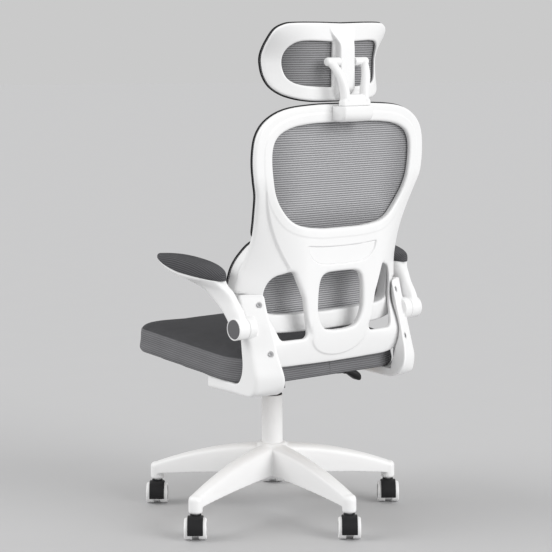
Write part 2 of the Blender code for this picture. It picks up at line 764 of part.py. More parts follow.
def make_lift(carrier, swivel, lift):
    """The gas lift: tube and bush in the base, rod on its thrust bearing, cylinder and valve button."""
    steel = finish("lift_steel", STEEL, 0.25, 1.0)
    black = finish("lift_black", BLACK, 0.5)
    inner = TUBE_RADIUS - TUBE_WALL
    floor_low = TUBE_BOTTOM + 0.005
    floor_high = floor_low + 0.003
    hole = ROD_RADIUS + 0.0006
    tube = [
        (TUBE_RADIUS, TUBE_BOTTOM),
        (TUBE_RADIUS, TUBE_TOP),
        (inner, TUBE_TOP),
        (inner, floor_high),
        (hole, floor_high),
        (hole, floor_low),
        (inner, floor_low),
        (inner, TUBE_BOTTOM),
    ]
    piece("gas_lift_tube", turned(tube, 24), finish("tube_white", WHITE, 0.35), carrier)
    slide = CYLINDER_RADIUS + RUNNING
    bush = [
        (slide, TUBE_TOP - BUSH_LENGTH),
        (inner - GAP, TUBE_TOP - BUSH_LENGTH),
        (inner - GAP, TUBE_TOP + GAP),
        (TUBE_RADIUS - 0.0005, TUBE_TOP + GAP),
        (TUBE_RADIUS - 0.0015, TUBE_TOP + 0.0026),
        (slide, TUBE_TOP + 0.0026),
    ]
    piece("guide_bush", turned(bush, 24), black, carrier)
    ring_bore = ROD_RADIUS + GAP
    bearing_low = floor_high + GAP
    bearing_top = bearing_low + 0.006
    bearing = [(ring_bore, bearing_low), (0.013, bearing_low), (0.013, bearing_top), (ring_bore, bearing_top)]
    piece("thrust_bearing", turned(bearing, 16), steel, carrier)
    clip_top = floor_low - GAP
    clip_low, clip_edge = clip_top - 0.002, 0.0095
    clip = [(ring_bore, clip_low), (clip_edge, clip_low), (clip_edge, clip_top), (ring_bore, clip_top)]
    piece("retaining_clip", turned(clip, 16), steel, carrier)

    cylinder_low = TUBE_BOTTOM + 0.051
    rod_top = cylinder_low + LIFT_STROKE + 0.02
    shoulder = bearing_top + GAP
    rod = [
        (0.0, clip_top - 0.004),
        (ROD_RADIUS, clip_top - 0.004),
        (ROD_RADIUS, shoulder),
        (0.010, shoulder),
        (0.010, shoulder + 0.004),
        (ROD_RADIUS, shoulder + 0.004),
        (ROD_RADIUS, rod_top),
        (0.0, rod_top),
    ]
    piece("gas_piston_rod", turned(rod, 16), steel, swivel)
    bore = ROD_RADIUS + RUNNING
    valve = 0.0045
    seat = CYLINDER_TOP - 0.018
    cylinder = [
        (bore, cylinder_low),
        (CYLINDER_RADIUS, cylinder_low),
        (CYLINDER_RADIUS, CYLINDER_TOP - 0.006),
        (CYLINDER_RADIUS - 0.001, CYLINDER_TOP),
        (valve, CYLINDER_TOP),
        (valve, seat),
        (0.0, seat),
        (0.0, rod_top + 0.015),
        (bore, rod_top + 0.015),
    ]
    piece("gas_cylinder", turned(cylinder, 24), finish("cylinder_black", BLACK, 0.3), lift)
    return valve, seat


def make_mechanism(lift, valve_axis, valve, seat):
    """The tilt housing on the cylinder's taper, its shaft, spring and valve button."""
    black = finish("mechanism_black", BLACK, 0.55)
    steel = finish("mechanism_steel", STEEL, 0.35, 1.0)

    def footprint(inset):
        half = HOUSING_HALF - inset
        front, rear = HOUSING_FRONT + inset, HOUSING_REAR - inset
        corners = [(-half, front), (half, front), (half, rear), (-half, rear)]
        return rounded(corners, [0.014 - 0.6 * inset] * 4, 4)

    floor = HOUSING_BOTTOM + 0.004
    housing = piece("tilt_housing", prism(footprint(0.0), HOUSING_BOTTOM, HOUSING_TOP), black, lift)
    cut(housing, helper("housing_hollow", prism(footprint(HOUSING_WALL), floor, HOUSING_TOP + 0.01), lift))
    socket = rod_form(CYLINDER_RADIUS + 0.0045, NECK_BOTTOM, CYLINDER_TOP - 0.008, 16)
    join(housing, helper("housing_socket", socket, lift))
    bores = rod_form(CYLINDER_RADIUS + 2.0 * GAP, NECK_BOTTOM - 0.01, CYLINDER_TOP + 0.01, 24)
    reach = HOUSING_HALF + 0.01
    rod_form(TILT_SHAFT_RADIUS + GAP, -reach, reach, 16, (0.0, TILT_Y, TILT_Z), "X", bores)
    collar = LEVER_RADIUS + 0.0032
    rod_form(collar, -reach, -HOUSING_HALF + 0.01, 16, (0.0, 0.0, LEVER_Z), "X", bores)
    rod_form(LEVER_RADIUS + GAP, HOUSING_BOTTOM - 0.01, floor + 0.005, 16, (0.0, KNOB_Y, 0.0), "Z", bores)
    cut(housing, helper("housing_bores", bores, lift))
    tip = HOUSING_HALF + 0.008
    shaft = rod_form(TILT_SHAFT_RADIUS, -tip, tip, 16, (0.0, TILT_Y, TILT_Z), "X")
    piece("tilt_shaft", shaft, steel, lift)

    rise = HOUSING_TOP - floor - 2.0 * SPRING_WIRE - 0.006
    points = 9 * SPRING_TURNS + 1
    turn = np.linspace(0.0, 2.0 * np.pi * SPRING_TURNS, points)
    coil = np.column_stack(
        [
            SPRING_RADIUS * np.cos(turn),
            KNOB_Y + SPRING_RADIUS * np.sin(turn),
            floor + GAP + 1.1 * SPRING_WIRE + rise * turn / turn[-1],
        ]
    )
    print(f"tilt_spring: least gap {1000.0 * least_gap(coil, SPRING_WIRE, 4.0 * SPRING_RADIUS):.2f} mm")
    piece("tilt_spring", swept(coil, SPRING_WIRE, 6), steel, lift)

    button_top = LEVER_Z - LEVER_RADIUS - 0.0007
    button = rod_form(valve - RUNNING, seat + 0.008, button_top, 16)
    piece("valve_button", button, finish("valve_red", (0.35, 0.02, 0.02), 0.5), valve_axis)


def make_knob(knob_axis):
    """The tension knob under the housing, with its bolt moulded in and grip flutes round it."""
    top = HOUSING_BOTTOM - GAP
    low = top - KNOB_HEIGHT
    flutes = 16
    rings = []
    for radius, z in (
        (0.72 * KNOB_RADIUS, low),
        (0.94 * KNOB_RADIUS, low + 0.003),
        (KNOB_RADIUS, low + 0.4 * KNOB_HEIGHT),
        (0.9 * KNOB_RADIUS, top),
    ):
        turn = 2.0 * np.pi * np.arange(2 * flutes) / (2 * flutes)
        grip = radius * np.where(np.arange(2 * flutes) % 2, 0.95, 1.0)
        level = np.full(2 * flutes, z)
        rings.append(np.column_stack([grip * np.cos(turn), KNOB_Y + grip * np.sin(turn), level]))
    knob = piece("tension_knob", lofted(rings), finish("knob_black", BLACK, 0.5), knob_axis)
    bolt = rod_form(LEVER_RADIUS, low + 0.01, HOUSING_TOP - 0.003, 16, (0.0, KNOB_Y, 0.0))
    join(knob, helper("tension_bolt", bolt, knob_axis))


def make_lever(lift_axis, pull_axis):
    """The height lever: a collar in the housing's wall, a cranked rod over the valve and a paddle."""
    wall = HOUSING_HALF - HOUSING_WALL / 2.0
    bore = LEVER_RADIUS + RUNNING
    crown = LEVER_RADIUS + 0.0028
    collar = [
        (bore, -wall - 0.005),
        (crown - 0.0008, -wall - 0.005),
        (crown, -wall),
        (crown - 0.0008, -wall + 0.005),
        (bore, -wall + 0.005),
    ]
    black = finish("lever_black", BLACK, 0.45)
    piece("lever_collar", turned(collar, 16, (0.0, 0.0, LEVER_Z), "X"), black, lift_axis)
    paddle_start = LEVER_END + PADDLE_LENGTH
    end = paddle_start - 0.016
    low = LEVER_Z - LEVER_DROP
    path = curve_through(
        [
            (0.012, 0.0, LEVER_Z),
            (-0.05, 0.0, LEVER_Z),
            (-0.085, 0.0, LEVER_Z - 0.001),
            (-0.5 * (0.085 - paddle_start) - 0.01, 0.0, LEVER_Z - 0.6 * LEVER_DROP),
            (paddle_start + 0.012, 0.0, low + 0.001),
            (end, 0.0, low),
        ],
        3,
    )
    path[:7, 2] = LEVER_Z
    piece("lever_rod", swept(path, LEVER_RADIUS, 8), finish("lever_steel", STEEL, 0.35, 1.0), pull_axis)
    half, thick = PADDLE_WIDTH / 2.0, 0.0075
    rings = []
    stations = ((0.0, 0.62, 1.0), (0.15, 0.8, 1.0), (0.5, 1.0, 0.85), (0.85, 0.95, 0.62), (1.0, 0.7, 0.4))
    for share, wide, tall in stations:
        wing, rise = half * wide, thick * tall
        section = rounded([(-wing, -rise), (wing, -rise), (wing, rise), (-wing, rise)], [0.7 * rise] * 4, 2)
        x = np.full(len(section), paddle_start - PADDLE_LENGTH * share)
        rings.append(np.column_stack([x, section[:, 0], section[:, 1] + low - 0.004 * share]))
    paddle = piece("lever_paddle", lofted(rings), black, pull_axis)
    socket = rod_form(LEVER_RADIUS + GAP, end - GAP, paddle_start + 0.01, 12, (0.0, 0.0, low), "X")
    cut(paddle, helper("paddle_socket", socket, pull_axis))


def seat_under(y):
    """Height of the seat's underside, which falls towards the rear."""
    return SEAT_Z - np.asarray(y) * math.tan(SEAT_SLOPE)


def sloped(bm):
    """Tips a form that was drawn on the level at SEAT_Z onto the seat's slope."""
    for vertex in bm.verts:
        vertex.co.z -= vertex.co.y * math.tan(SEAT_SLOPE)
    return bm


def seat_outline(points=52):
    """Plan of the cushion, whose rear corners take their place from the brackets that they pass between."""
    rear_half = BRACKET_OUTER + SEAT_LAP
    corners = [(-SEAT_HALF, SEAT_FRONT), (SEAT_HALF, SEAT_FRONT)]
    corners += [(rear_half, SEAT_REAR), (-rear_half, SEAT_REAR)]
    radii = [SEAT_FRONT_CORNER, SEAT_FRONT_CORNER, SEAT_REAR_CORNER, SEAT_REAR_CORNER]
    loop = rounded(corners, radii, 10)
    ends = np.vstack([loop, loop[:1]])
    length = np.concatenate([[0.0], np.cumsum(np.linalg.norm(np.diff(ends, axis=0), axis=1))])
    at = np.linspace(0.0, length[-1], points, endpoint=False)
    return np.column_stack([np.interp(at, length, ends[:, 0]), np.interp(at, length, ends[:, 1])])


def make_seat(tilt):
    """Cushion with a crowned top, drawn-in sides and a recess below that takes the seat pan."""
    loop = seat_outline()
    centre = np.array([0.0, (SEAT_FRONT + SEAT_REAR) / 2.0])
    hollow = PAN_THICK + GAP

    def ring(inset, height):
        outline = offset_loop(loop, inset)
        return np.column_stack([outline, np.full(len(outline), SEAT_Z + height)])

    def top_ring(scale, height):
        outline = centre + (offset_loop(loop, 0.034) - centre) * scale
        return np.column_stack([outline, np.full(len(outline), SEAT_Z + height)])

    rings = [
        ring(PAN_INSET, hollow),
        ring(PAN_INSET, 0.0),
        ring(0.010, 0.0),
        ring(0.003, 0.004),
        ring(0.0, 0.012),
        ring(0.003, 0.036),
        ring(0.001, 0.052),
        ring(0.004, SEAT_EDGE - 0.004),
        ring(0.012, SEAT_EDGE),
        top_ring(1.0, SEAT_EDGE + 0.3 * SEAT_CROWN),
        top_ring(0.8, SEAT_EDGE + 0.62 * SEAT_CROWN),
        top_ring(0.55, SEAT_EDGE + 0.87 * SEAT_CROWN),
        top_ring(0.25, SEAT_EDGE + SEAT_CROWN),
    ]
    piece("seat_cushion", sloped(lofted(rings)), finish("seat_cloth", CLOTH, 0.9), tilt, smooth=60.0)
    board = offset_loop(loop, PAN_INSET + GAP)
    pan = sloped(prism(board, SEAT_Z, SEAT_Z + PAN_THICK))
    piece("seat_pan", pan, finish("pan_board", (0.45, 0.33, 0.22), 0.8), tilt)

    top = SEAT_Z - GAP
    half, waist, reach = PLATE_HALF, 0.66 * PLATE_HALF, PLATE_LENGTH / 2.0
    right = [(half, -reach), (half, -0.5 * reach), (waist, -0.25 * reach)]
    right += [(waist, 0.25 * reach), (half, 0.5 * reach), (half, reach)]
    left = [(-x, y) for x, y in right[::-1]]
    wings = rounded(np.array(right + left) + (0.0, -0.02), [0.012] * 12, 3)
    look = finish("plate_black", BLACK, 0.5)
    plate = piece("tilt_plate", sloped(prism(wings, top - PLATE_THICK, top)), look, tilt)
    for name, side in (("left", 1.0), ("right", -1.0)):
        inner, outer = HOUSING_HALF + 0.0006, HOUSING_HALF + 0.0036
        middle = -GAP - PLATE_THICK / 2.0
        cheek = rounded(
            [
                (TILT_Y - 0.024, seat_under(TILT_Y - 0.024) + middle),
                (TILT_Y - 0.012, TILT_Z - 0.012),
                (TILT_Y + 0.012, TILT_Z - 0.012),
                (TILT_Y + 0.024, seat_under(TILT_Y + 0.024) + middle),
            ],
            [0.0, 0.010, 0.010, 0.0],
            4,
        )
        form = prism(cheek, *sorted((side * inner, side * outer)), None, "YZ")
        join(plate, helper(f"plate_cheek_{name}", form, tilt))
    hole = rod_form(TILT_SHAFT_RADIUS + GAP, -0.1, 0.1, 16, (0.0, TILT_Y, TILT_Z), "X")
    cut(plate, helper("plate_shaft_hole", hole, tilt))


def back_line(z):
    """Rear face of the back frame on the centre line: it leans back, and tucks forward towards its foot."""
    below = np.maximum(0.0, BACK_Z - np.asarray(z, float)) / (BACK_Z - BACK_FOOT)
    return BACK_Y + BACK_LEAN * (np.asarray(z, float) - BACK_Z) - FOOT_TUCK * below**2


def back_wrap(x, z):
    """How far the frame bends forward at its sides, most at the waist."""
    strength = WRAP_ENDS + (WRAP_WAIST - WRAP_ENDS) * (eased(*WAIST_RISE, z) - eased(*WAIST_FALL, z))
    return strength * np.maximum(0.0, np.abs(x) - FLAT_HALF) ** 1.5


def crease_x(z):
    """Half width of the raised spine, where it steps down to the wings."""
    return CREASE_X + CREASE_SLOPE * (np.asarray(z, float) - CREASE_Z)


def back_rear(x, z):
    edge = crease_x(z)
    step = eased(edge - CREASE_BLEND, edge + CREASE_BLEND, np.abs(x)) * eased(*SPINE_RISE, z)
    return back_line(z) - back_wrap(x, z) - SPINE_STEP * step * (1.0 - eased(*SPINE_FADE, z))


def back_front(x, z):
    wall = BACK_FOOT_WALL + (BACK_WALL - BACK_FOOT_WALL) * eased(*WALL_RISE, z)
    wall = wall - SPINE_STEP * eased(*SPINE_FADE, z)
    return back_line(z) - back_wrap(x, z) - wall


def make_back_frame(tilt):
    """The moulded frame: a rim round the upper window, a spine stepping down to wings, three low windows."""
    notch = BRACKET_TOP + GAP
    upper = curve_through(FRAME_SIDE + ((FRAME_SIDE[-1][0], notch),), 3)
    lower = curve_through(((NOTCH_HALF, notch),) + FRAME_FOOT, 3)
    outline = mirrored_loop(np.vstack([upper, lower]))
    top_window = mirrored_loop(curve_through(TOP_WINDOW, 2))
    low_window = mirrored_loop(curve_through(LOW_WINDOW, 2))
    side_window = rounded(SIDE_WINDOW, SIDE_WINDOW_RADII, 3)
    holes = [top_window, low_window, side_window, side_window * (-1.0, 1.0)]
    heights = np.linspace(CREASE_LOW, CREASE_HIGH, 8)
    lines = []
    for side in (1.0, -1.0):
        for blend in (-CREASE_BLEND, CREASE_BLEND):
            lines.append(np.column_stack([side * (crease_x(heights) + blend), heights]))
    form = curved_plate(outline, holes, back_front, back_rear, 0.003, 0.034, lines)
    frame = piece("back_frame", form, finish("frame_white", WHITE, 0.38), tilt)
    brow = curve_through(RECESS_BROW, 2)
    belly = curve_through(RECESS_BELLY, 2)
    recess = mirrored_loop(np.vstack([brow, belly[1:]]))

    def pocket_floor(x, z):
        return back_rear(x, z) - RECESS_DEPTH

    def pocket_mouth(x, z):
        return back_rear(x, z) + 0.005

    pocket = curved_plate(recess, [], pocket_floor, pocket_mouth, 0.0004, 0.03)
    cut(frame, helper("spine_recess", pocket, tilt))


def sheet_between(surface, seam=None):
    """Front and rear faces of a mesh panel on a surface y(x, z), sewn down along a seam if it has one."""

    def gap(x, z):
        if seam is None:
            return SHEET_GAP
        away = distance_to(np.column_stack([x, z]), seam)
        return GAP + (SHEET_GAP - GAP) * eased(0.0045, 0.012, away)

    def near(x, z):
        return surface(x, z) - gap(x, z) - MESH_THICK

    def far(x, z):
        return surface(x, z) - gap(x, z)

    return near, far


def make_back_mesh(tilt):
    look = finish("mesh_grey", NET, 0.8)
    side = curve_through(FRAME_SIDE, 3)
    side = side[side[:, 1] > NET_FOOT[0][1]]
    foot = curve_through(NET_FOOT, 2)
    outline = offset_loop(mirrored_loop(np.vstack([side, foot])), 0.0006)
    form = curved_plate(outline, [], *sheet_between(back_front), 0.0012, 0.04)
    piece("back_mesh", form, look, tilt, smooth=60.0)
    outline = mirrored_loop(curve_through(LUMBAR_SIDE, 2))
    window = offset_loop(outline, LUMBAR_BAND)

    def rear(x, z):
        return np.minimum(back_front(x, z) - LUMBAR_GAP, LUMBAR_FLAT_Y)

    def front(x, z):
        wings = back_front(x, np.maximum(z, LUMBAR_LEVEL)) - SHEET_GAP
        blend = np.hypot(wings - LUMBAR_FLAT_Y, LUMBAR_BLEND)
        return 0.5 * (wings + LUMBAR_FLAT_Y - blend) - LUMBAR_DEPTH

    ribs = [offset_loop(outline, 0.5 * LUMBAR_BAND)]
    frame = curved_plate(outline, [window], front, rear, 0.004, 0.04, ribs)
    piece("lumbar_frame", frame, finish("lumbar_white", WHITE, 0.4), tilt)
    form = curved_plate(outline, [], *sheet_between(front, outline), 0.004, 0.04, ribs)
    piece("lumbar_mesh", form, look, tilt, smooth=60.0)


def limb_rear(x, z):
    """Rear face of a bracket's limb, which looks backwards and outwards."""
    return LIMB_Y + LIMB_LEAN * (z - LIMB_Z) - LIMB_SLANT * (x - LIMB_X)


def eased_corners(ring, radii):
    """A ring whose corners are each replaced by three points of a short curve."""
    made = []
    for k, corner in enumerate(ring):
        if radii[k] == 0.0:
            made.append(corner)
            continue
        before, after = ring[k - 1] - corner, ring[(k + 1) % len(ring)] - corner
        reach = min(radii[k], 0.42 * np.linalg.norm(before), 0.42 * np.linalg.norm(after))
        start = corner + before / np.linalg.norm(before) * reach
        end = corner + after / np.linalg.norm(after) * reach
        made += [start, 0.25 * start + 0.5 * corner + 0.25 * end, end]
    return np.array(made)


def bracket_rings():
    """Sections of the left bracket from the front of its foot, round its heel and up its limb.

    Corners in order: outer rear, inner rear, three along the frame, inner lip, outer lip.
    """
    outer, inner, lip = BRACKET_OUTER, 0.172, 0.2045
    bend = 0.412
    rings = []
    for y in (BRACKET_FRONT, 0.11, 0.15):
        top = seat_under(y) - GAP
        across = ((outer, BRACKET_BOTTOM), (inner, BRACKET_BOTTOM), (inner, top), (0.185, top), (0.196, top))
        rings.append([(x, y, z) for x, z in across + ((lip + 0.003, top), (outer, top))])

    heel, toe, tuck, corner = 0.19, 0.165, 0.2265, 0.2045
    shelf = float(seat_under(heel)) - GAP
    under = float(seat_under(tuck)) - 2.0 * GAP
    along = [
        [(inner, heel, shelf), (0.185, heel, shelf), (0.196, heel, shelf), (0.2075, heel - 0.005, shelf)],
        [(0.1745, tuck, under), (0.186, tuck, under), (lip - 0.001, tuck, under)]
        + [(lip, corner, seat_under(corner) - 2.0 * GAP)],
        [(0.1755, 0.2305, 0.372), (0.187, 0.2297, 0.372), (lip, 0.2287, 0.372), (lip, corner, 0.373)],
        [(0.1765, 0.2345, 0.385), (0.188, 0.233, 0.385), (lip, 0.231, 0.385), (lip, corner, 0.385)],
    ]
    outer_heel = ((0.2155, BRACKET_BOTTOM), (0.2305, 0.3445), (0.2415, 0.3555), (0.247, 0.386))
    inner_heel = ((inner, 0.225, BRACKET_BOTTOM), (0.1745, 0.2525, 0.3475))
    inner_heel += ((0.1765, 0.2705, 0.365), (0.179, 0.2765, 0.386))
    for degrees, outside, within, seat_side in zip((0.0, 28.0, 48.0, 66.0), outer_heel, inner_heel, along):
        sine, cosine = math.sin(math.radians(degrees)), math.cos(math.radians(degrees))
        rise = bend - (bend - seat_under(toe) + GAP) * cosine
        rings.append([(outer, *outside), within, *seat_side, (outer, toe + (0.195 - toe) * sine, rise)])

    for z in (bend, 0.435, 0.46, 0.485, 0.51, 0.535, BRACKET_TOP - 0.005):
        near = float(np.interp(z, (bend, 0.447, 0.49, BRACKET_TOP), (0.1815, 0.1855, 0.187, 0.1895)))
        edge = float(np.interp(z, (0.44, 0.50), (lip, 0.2178)))
        front = float(np.interp(z, (bend, BRACKET_TOP), (0.195, 0.181)))
        turn = float(np.interp(z, (0.435, 0.46), (corner, front)))
        corners = [(outer, limb_rear(outer, z), z), (near, limb_rear(near, z), z)]
        for x in (near, (near + edge) / 2.0, edge):
            corners.append((x, float(back_rear(x, z)) + STRAP_GAP, z))
        rings.append(corners + [(edge, turn, z), (outer, front, z)])
    rings = [eased_corners(np.array(ring), (0.009, 0.007, 0.0, 0.0, 0.0, 0.0, 0.006)) for ring in rings]
    middle = rings[-1].mean(axis=0)
    end = middle + (rings[-1] - middle) * 0.9
    end[:, 2] = BRACKET_TOP
    return rings + [end]


def make_bracket(name, side, tilt, look):
    mirror = np.array([side, 1.0, 1.0])
    bracket = piece(f"bracket_{name}", lofted([ring * mirror for ring in bracket_rings()]), look, tilt)
    centre = (0.0, ARM_Y, ARM_Z)
    face = BRACKET_OUTER + BOSS_PROUD
    boss = rod_form(ARM_HUB_RADIUS, *sorted((side * 0.2195, side * face)), 24, centre, "X")
    join(bracket, helper(f"bracket_boss_{name}", boss, tilt))
    blind = 0.2235
    hole = rod_form(ARM_PIN_RADIUS + GAP, *sorted((side * blind, side * (face + 0.01))), 16, centre, "X")
    cut(bracket, helper(f"bracket_pin_hole_{name}", hole, tilt))
    tip = ARM_HUB_OUTER - CAP_THICK - 0.001
    pin = rod_form(ARM_PIN_RADIUS, *sorted((side * (blind + GAP), side * tip)), 16, centre, "X")
    piece(f"arm_pin_{name}", pin, finish("pin_steel", STEEL, 0.3, 1.0), tilt)


def pad_under(y):
    """Underside of an arm pad, which rises towards its front."""
    return PAD_Z + (PAD_REAR - np.asarray(y, float)) * math.tan(PAD_SLOPE)


def make_arm(name, side, flip, look):
    """An arm: a hub on the pin, a limb that sweeps forward and widens, and a soft pad on it."""
    turn = 2.0 * np.pi * (np.arange(16) + 0.5) / 16
    across = np.sign(np.cos(turn)) * np.abs(np.cos(turn)) ** 0.6
    along = np.sign(np.sin(turn)) * np.abs(np.sin(turn)) ** 0.75
    rings = []
    for height, front, rear, middle, half, tilted in ARM_SECTIONS:
        y = (front + rear) / 2.0 + along * (rear - front) / 2.0
        z = height + tilted * ((front + rear) / 2.0 - y) * math.tan(PAD_SLOPE)
        rings.append(np.column_stack([side * (middle + half * across), y, z]))
    front, rear = PAD_FRONT + 0.012, PAD_REAR - 0.006
    y = (front + rear) / 2.0 + along * (rear - front) / 2.0
    rings.append(np.column_stack([side * (PAD_X + 0.029 * across), y, pad_under(y) - GAP]))
    arm = piece(f"arm_{name}", lofted(rings), look, flip)
    centre = (0.0, ARM_Y, ARM_Z)
    inner = BRACKET_OUTER + BOSS_PROUD + GAP
    hub = rod_form(ARM_HUB_RADIUS, *sorted((side * inner, side * ARM_HUB_OUTER)), 24, centre, "X")
    join(arm, helper(f"arm_hub_{name}", hub, flip))
    floor = ARM_HUB_OUTER - CAP_THICK
    ends = sorted((side * 0.23, side * (floor + 0.001)))
    bore = rod_form(ARM_PIN_RADIUS + RUNNING, *ends, 16, centre, "X")
    cut(arm, helper(f"arm_bore_{name}", bore, flip))
    recess = ARM_HUB_RADIUS - 0.0025
    seat = rod_form(recess, *sorted((side * (floor - GAP), side * (ARM_HUB_OUTER + 0.01))), 24, centre, "X")
    cut(arm, helper(f"arm_cap_seat_{name}", seat, flip))
    cap = rod_form(recess - GAP, *sorted((side * floor, side * (ARM_HUB_OUTER + GAP))), 24, centre, "X")
    piece(f"hub_cap_{name}", cap, finish("cap_grey", (0.12, 0.12, 0.125), 0.55), flip)

    rings = []
    for share in (-0.985, -0.93, -0.75, -0.4, 0.0, 0.4, 0.75, 0.93, 0.985):
        half = PAD_HALF * math.sqrt(1.0 - abs(share) ** 2.6) * (1.0 - 0.09 * (share + 1.0))
        tall = PAD_THICK * (0.5 + 0.5 * (1.0 - abs(share) ** 3))
        y = (PAD_FRONT + PAD_REAR) / 2.0 + share * (PAD_REAR - PAD_FRONT) / 2.0
        right = ((0.84, 0.0), (1.0, 0.3), (0.95, 0.66), (0.66, 0.93))
        section = right + ((0.0, 1.0),) + tuple((-x, z) for x, z in right[::-1])
        base = float(pad_under(y))
        rings.append(np.array([(side * (PAD_X + half * x), y, base + tall * z) for x, z in section]))
    piece(f"arm_pad_{name}", lofted(rings), finish("pad_grey", (0.10, 0.10, 0.105), 0.75), flip, smooth=70.0)


def head_rear(x, z):
    """Rear face of the headrest: a scoop, deepest at mid height, whose sides come forward as x cubed."""
    above = np.clip((np.asarray(z, float) - HEAD_Z) / HEAD_TOP_RISE, 0.0, 1.0)
    below = np.maximum(0.0, (HEAD_Z - np.asarray(z, float)) / HEAD_FOOT_DROP)
    strength = HEAD_SAG + (HEAD_SAG_TOP - HEAD_SAG) * above**2 + (HEAD_SAG_FOOT - HEAD_SAG) * below**2
    return HEAD_Y + HEAD_LEAN * (np.asarray(z, float) - HEAD_Z) - strength * np.abs(x) ** 3


def head_front(x, z):
    return head_rear(x, z) - HEAD_WALL


def make_headrest(tilt, slide, nod):
    """Saddle on the frame's rim, fork that slides in it, and the curved headrest on the fork's pin."""
    white = finish("headrest_white", WHITE, 0.38)
    front_low, front_high = (float(back_rear(0.0, z)) + GAP for z in (SADDLE_BOTTOM, SADDLE_TOP))
    side_view = rounded(
        [(front_low, SADDLE_BOTTOM), (SADDLE_REAR, SADDLE_BOTTOM)]
        + [(SADDLE_REAR, SADDLE_TOP), (front_high, SADDLE_TOP)],
        [0.0, 0.006, 0.004, 0.0],
        3,
    )
    saddle = piece("headrest_saddle", prism(side_view, -SADDLE_HALF, SADDLE_HALF, None, "YZ"), white, tilt)

    def block(half, thick, low, high, corner):
        near, far = FORK_Y - thick, FORK_Y + thick
        corners = [(-half, near), (half, near), (half, far), (-half, far)]
        return prism(rounded(corners, [corner] * 4, 3), low, high)

    slot = block(TONGUE_HALF + GAP, TONGUE_THICK / 2.0 + GAP, SADDLE_BOTTOM - 0.01, SADDLE_TOP + 0.01, 0.003)
    cut(saddle, helper("saddle_slot", slot, tilt))

    shoulder = SADDLE_TOP + GAP
    stem = block(SHOULDER_HALF, SHOULDER_THICK / 2.0, shoulder, shoulder + SHOULDER_TALL, 0.006)
    fork = piece("headrest_fork", stem, white, slide)
    tongue = block(TONGUE_HALF, TONGUE_THICK / 2.0, SADDLE_BOTTOM - 0.004, shoulder + 0.01, 0.003)
    join(fork, helper("fork_tongue", tongue, slide))
    pivot = (0.0, HEAD_PIVOT_Y, HEAD_Z)
    inner = HEAD_BAR_HALF + 2.0 * GAP
    for name, side in (("left", 1.0), ("right", -1.0)):
        path = curve_through(
            [
                (side * (FORK_HALF - 0.034), FORK_Y, shoulder + 0.008),
                (side * (FORK_HALF - 0.030), FORK_Y + 0.002, HEAD_Z - 0.060),
                (side * (FORK_HALF - 0.023), FORK_Y + 0.002, HEAD_Z - 0.033),
                (side * (FORK_HALF - 0.016), 0.5 * (FORK_Y + HEAD_PIVOT_Y) + 0.002, HEAD_Z - 0.012),
                (side * (FORK_HALF - 0.012), HEAD_PIVOT_Y, HEAD_Z),
            ],
            2,
        )
        join(fork, helper(f"fork_arm_{name}", swept(path, FORK_ARM_RADIUS, 8), slide))
        boss = rod_form(FORK_BOSS_RADIUS, *sorted((side * inner, side * FORK_HALF)), 12, pivot, "X")
        join(fork, helper(f"fork_boss_{name}", boss, slide))
    hole = rod_form(HEAD_PIN_RADIUS + GAP, -0.1, 0.1, 16, pivot, "X")
    cut(fork, helper("fork_pin_hole", hole, slide))
    pin = rod_form(HEAD_PIN_RADIUS, -FORK_HALF + 0.001, FORK_HALF - 0.001, 16, pivot, "X")
    piece("headrest_pin", pin, finish("headrest_pin_steel", STEEL, 0.3, 1.0), slide)

    outline = mirrored_loop(curve_through(HEAD_SIDE, 2))
    window = curve_through(HEAD_WINDOW, 2)
    ribs = [offset_loop(outline, 0.5 * HEAD_BAND)]
    form = curved_plate(outline, [window, window * (-1.0, 1.0)], head_front, head_rear, 0.003, 0.03, ribs)
    frame = piece("headrest_frame", form, white, nod)
    root = HEAD_Y - 0.005
    low, high = HEAD_Z - HEAD_BAR_DROP, HEAD_Z + HEAD_BAR_RISE
    bar = rounded(
        [(root, low), (HEAD_BAR_REAR, low), (HEAD_BAR_REAR, high), (root, high)],
        [0.0, 0.006, 0.006, 0.0],
        3,
    )
    join(frame, helper("headrest_bar", prism(bar, -HEAD_BAR_HALF, HEAD_BAR_HALF, None, "YZ"), nod))
    hole = rod_form(HEAD_PIN_RADIUS + RUNNING, -0.1, 0.1, 16, pivot, "X")
    cut(frame, helper("bar_pin_hole", hole, nod))
    form = curved_plate(outline, [], *sheet_between(head_front, outline), 0.003, 0.03, ribs)
    piece("headrest_mesh", form, finish("mesh_grey", NET, 0.8), nod, smooth=60.0)


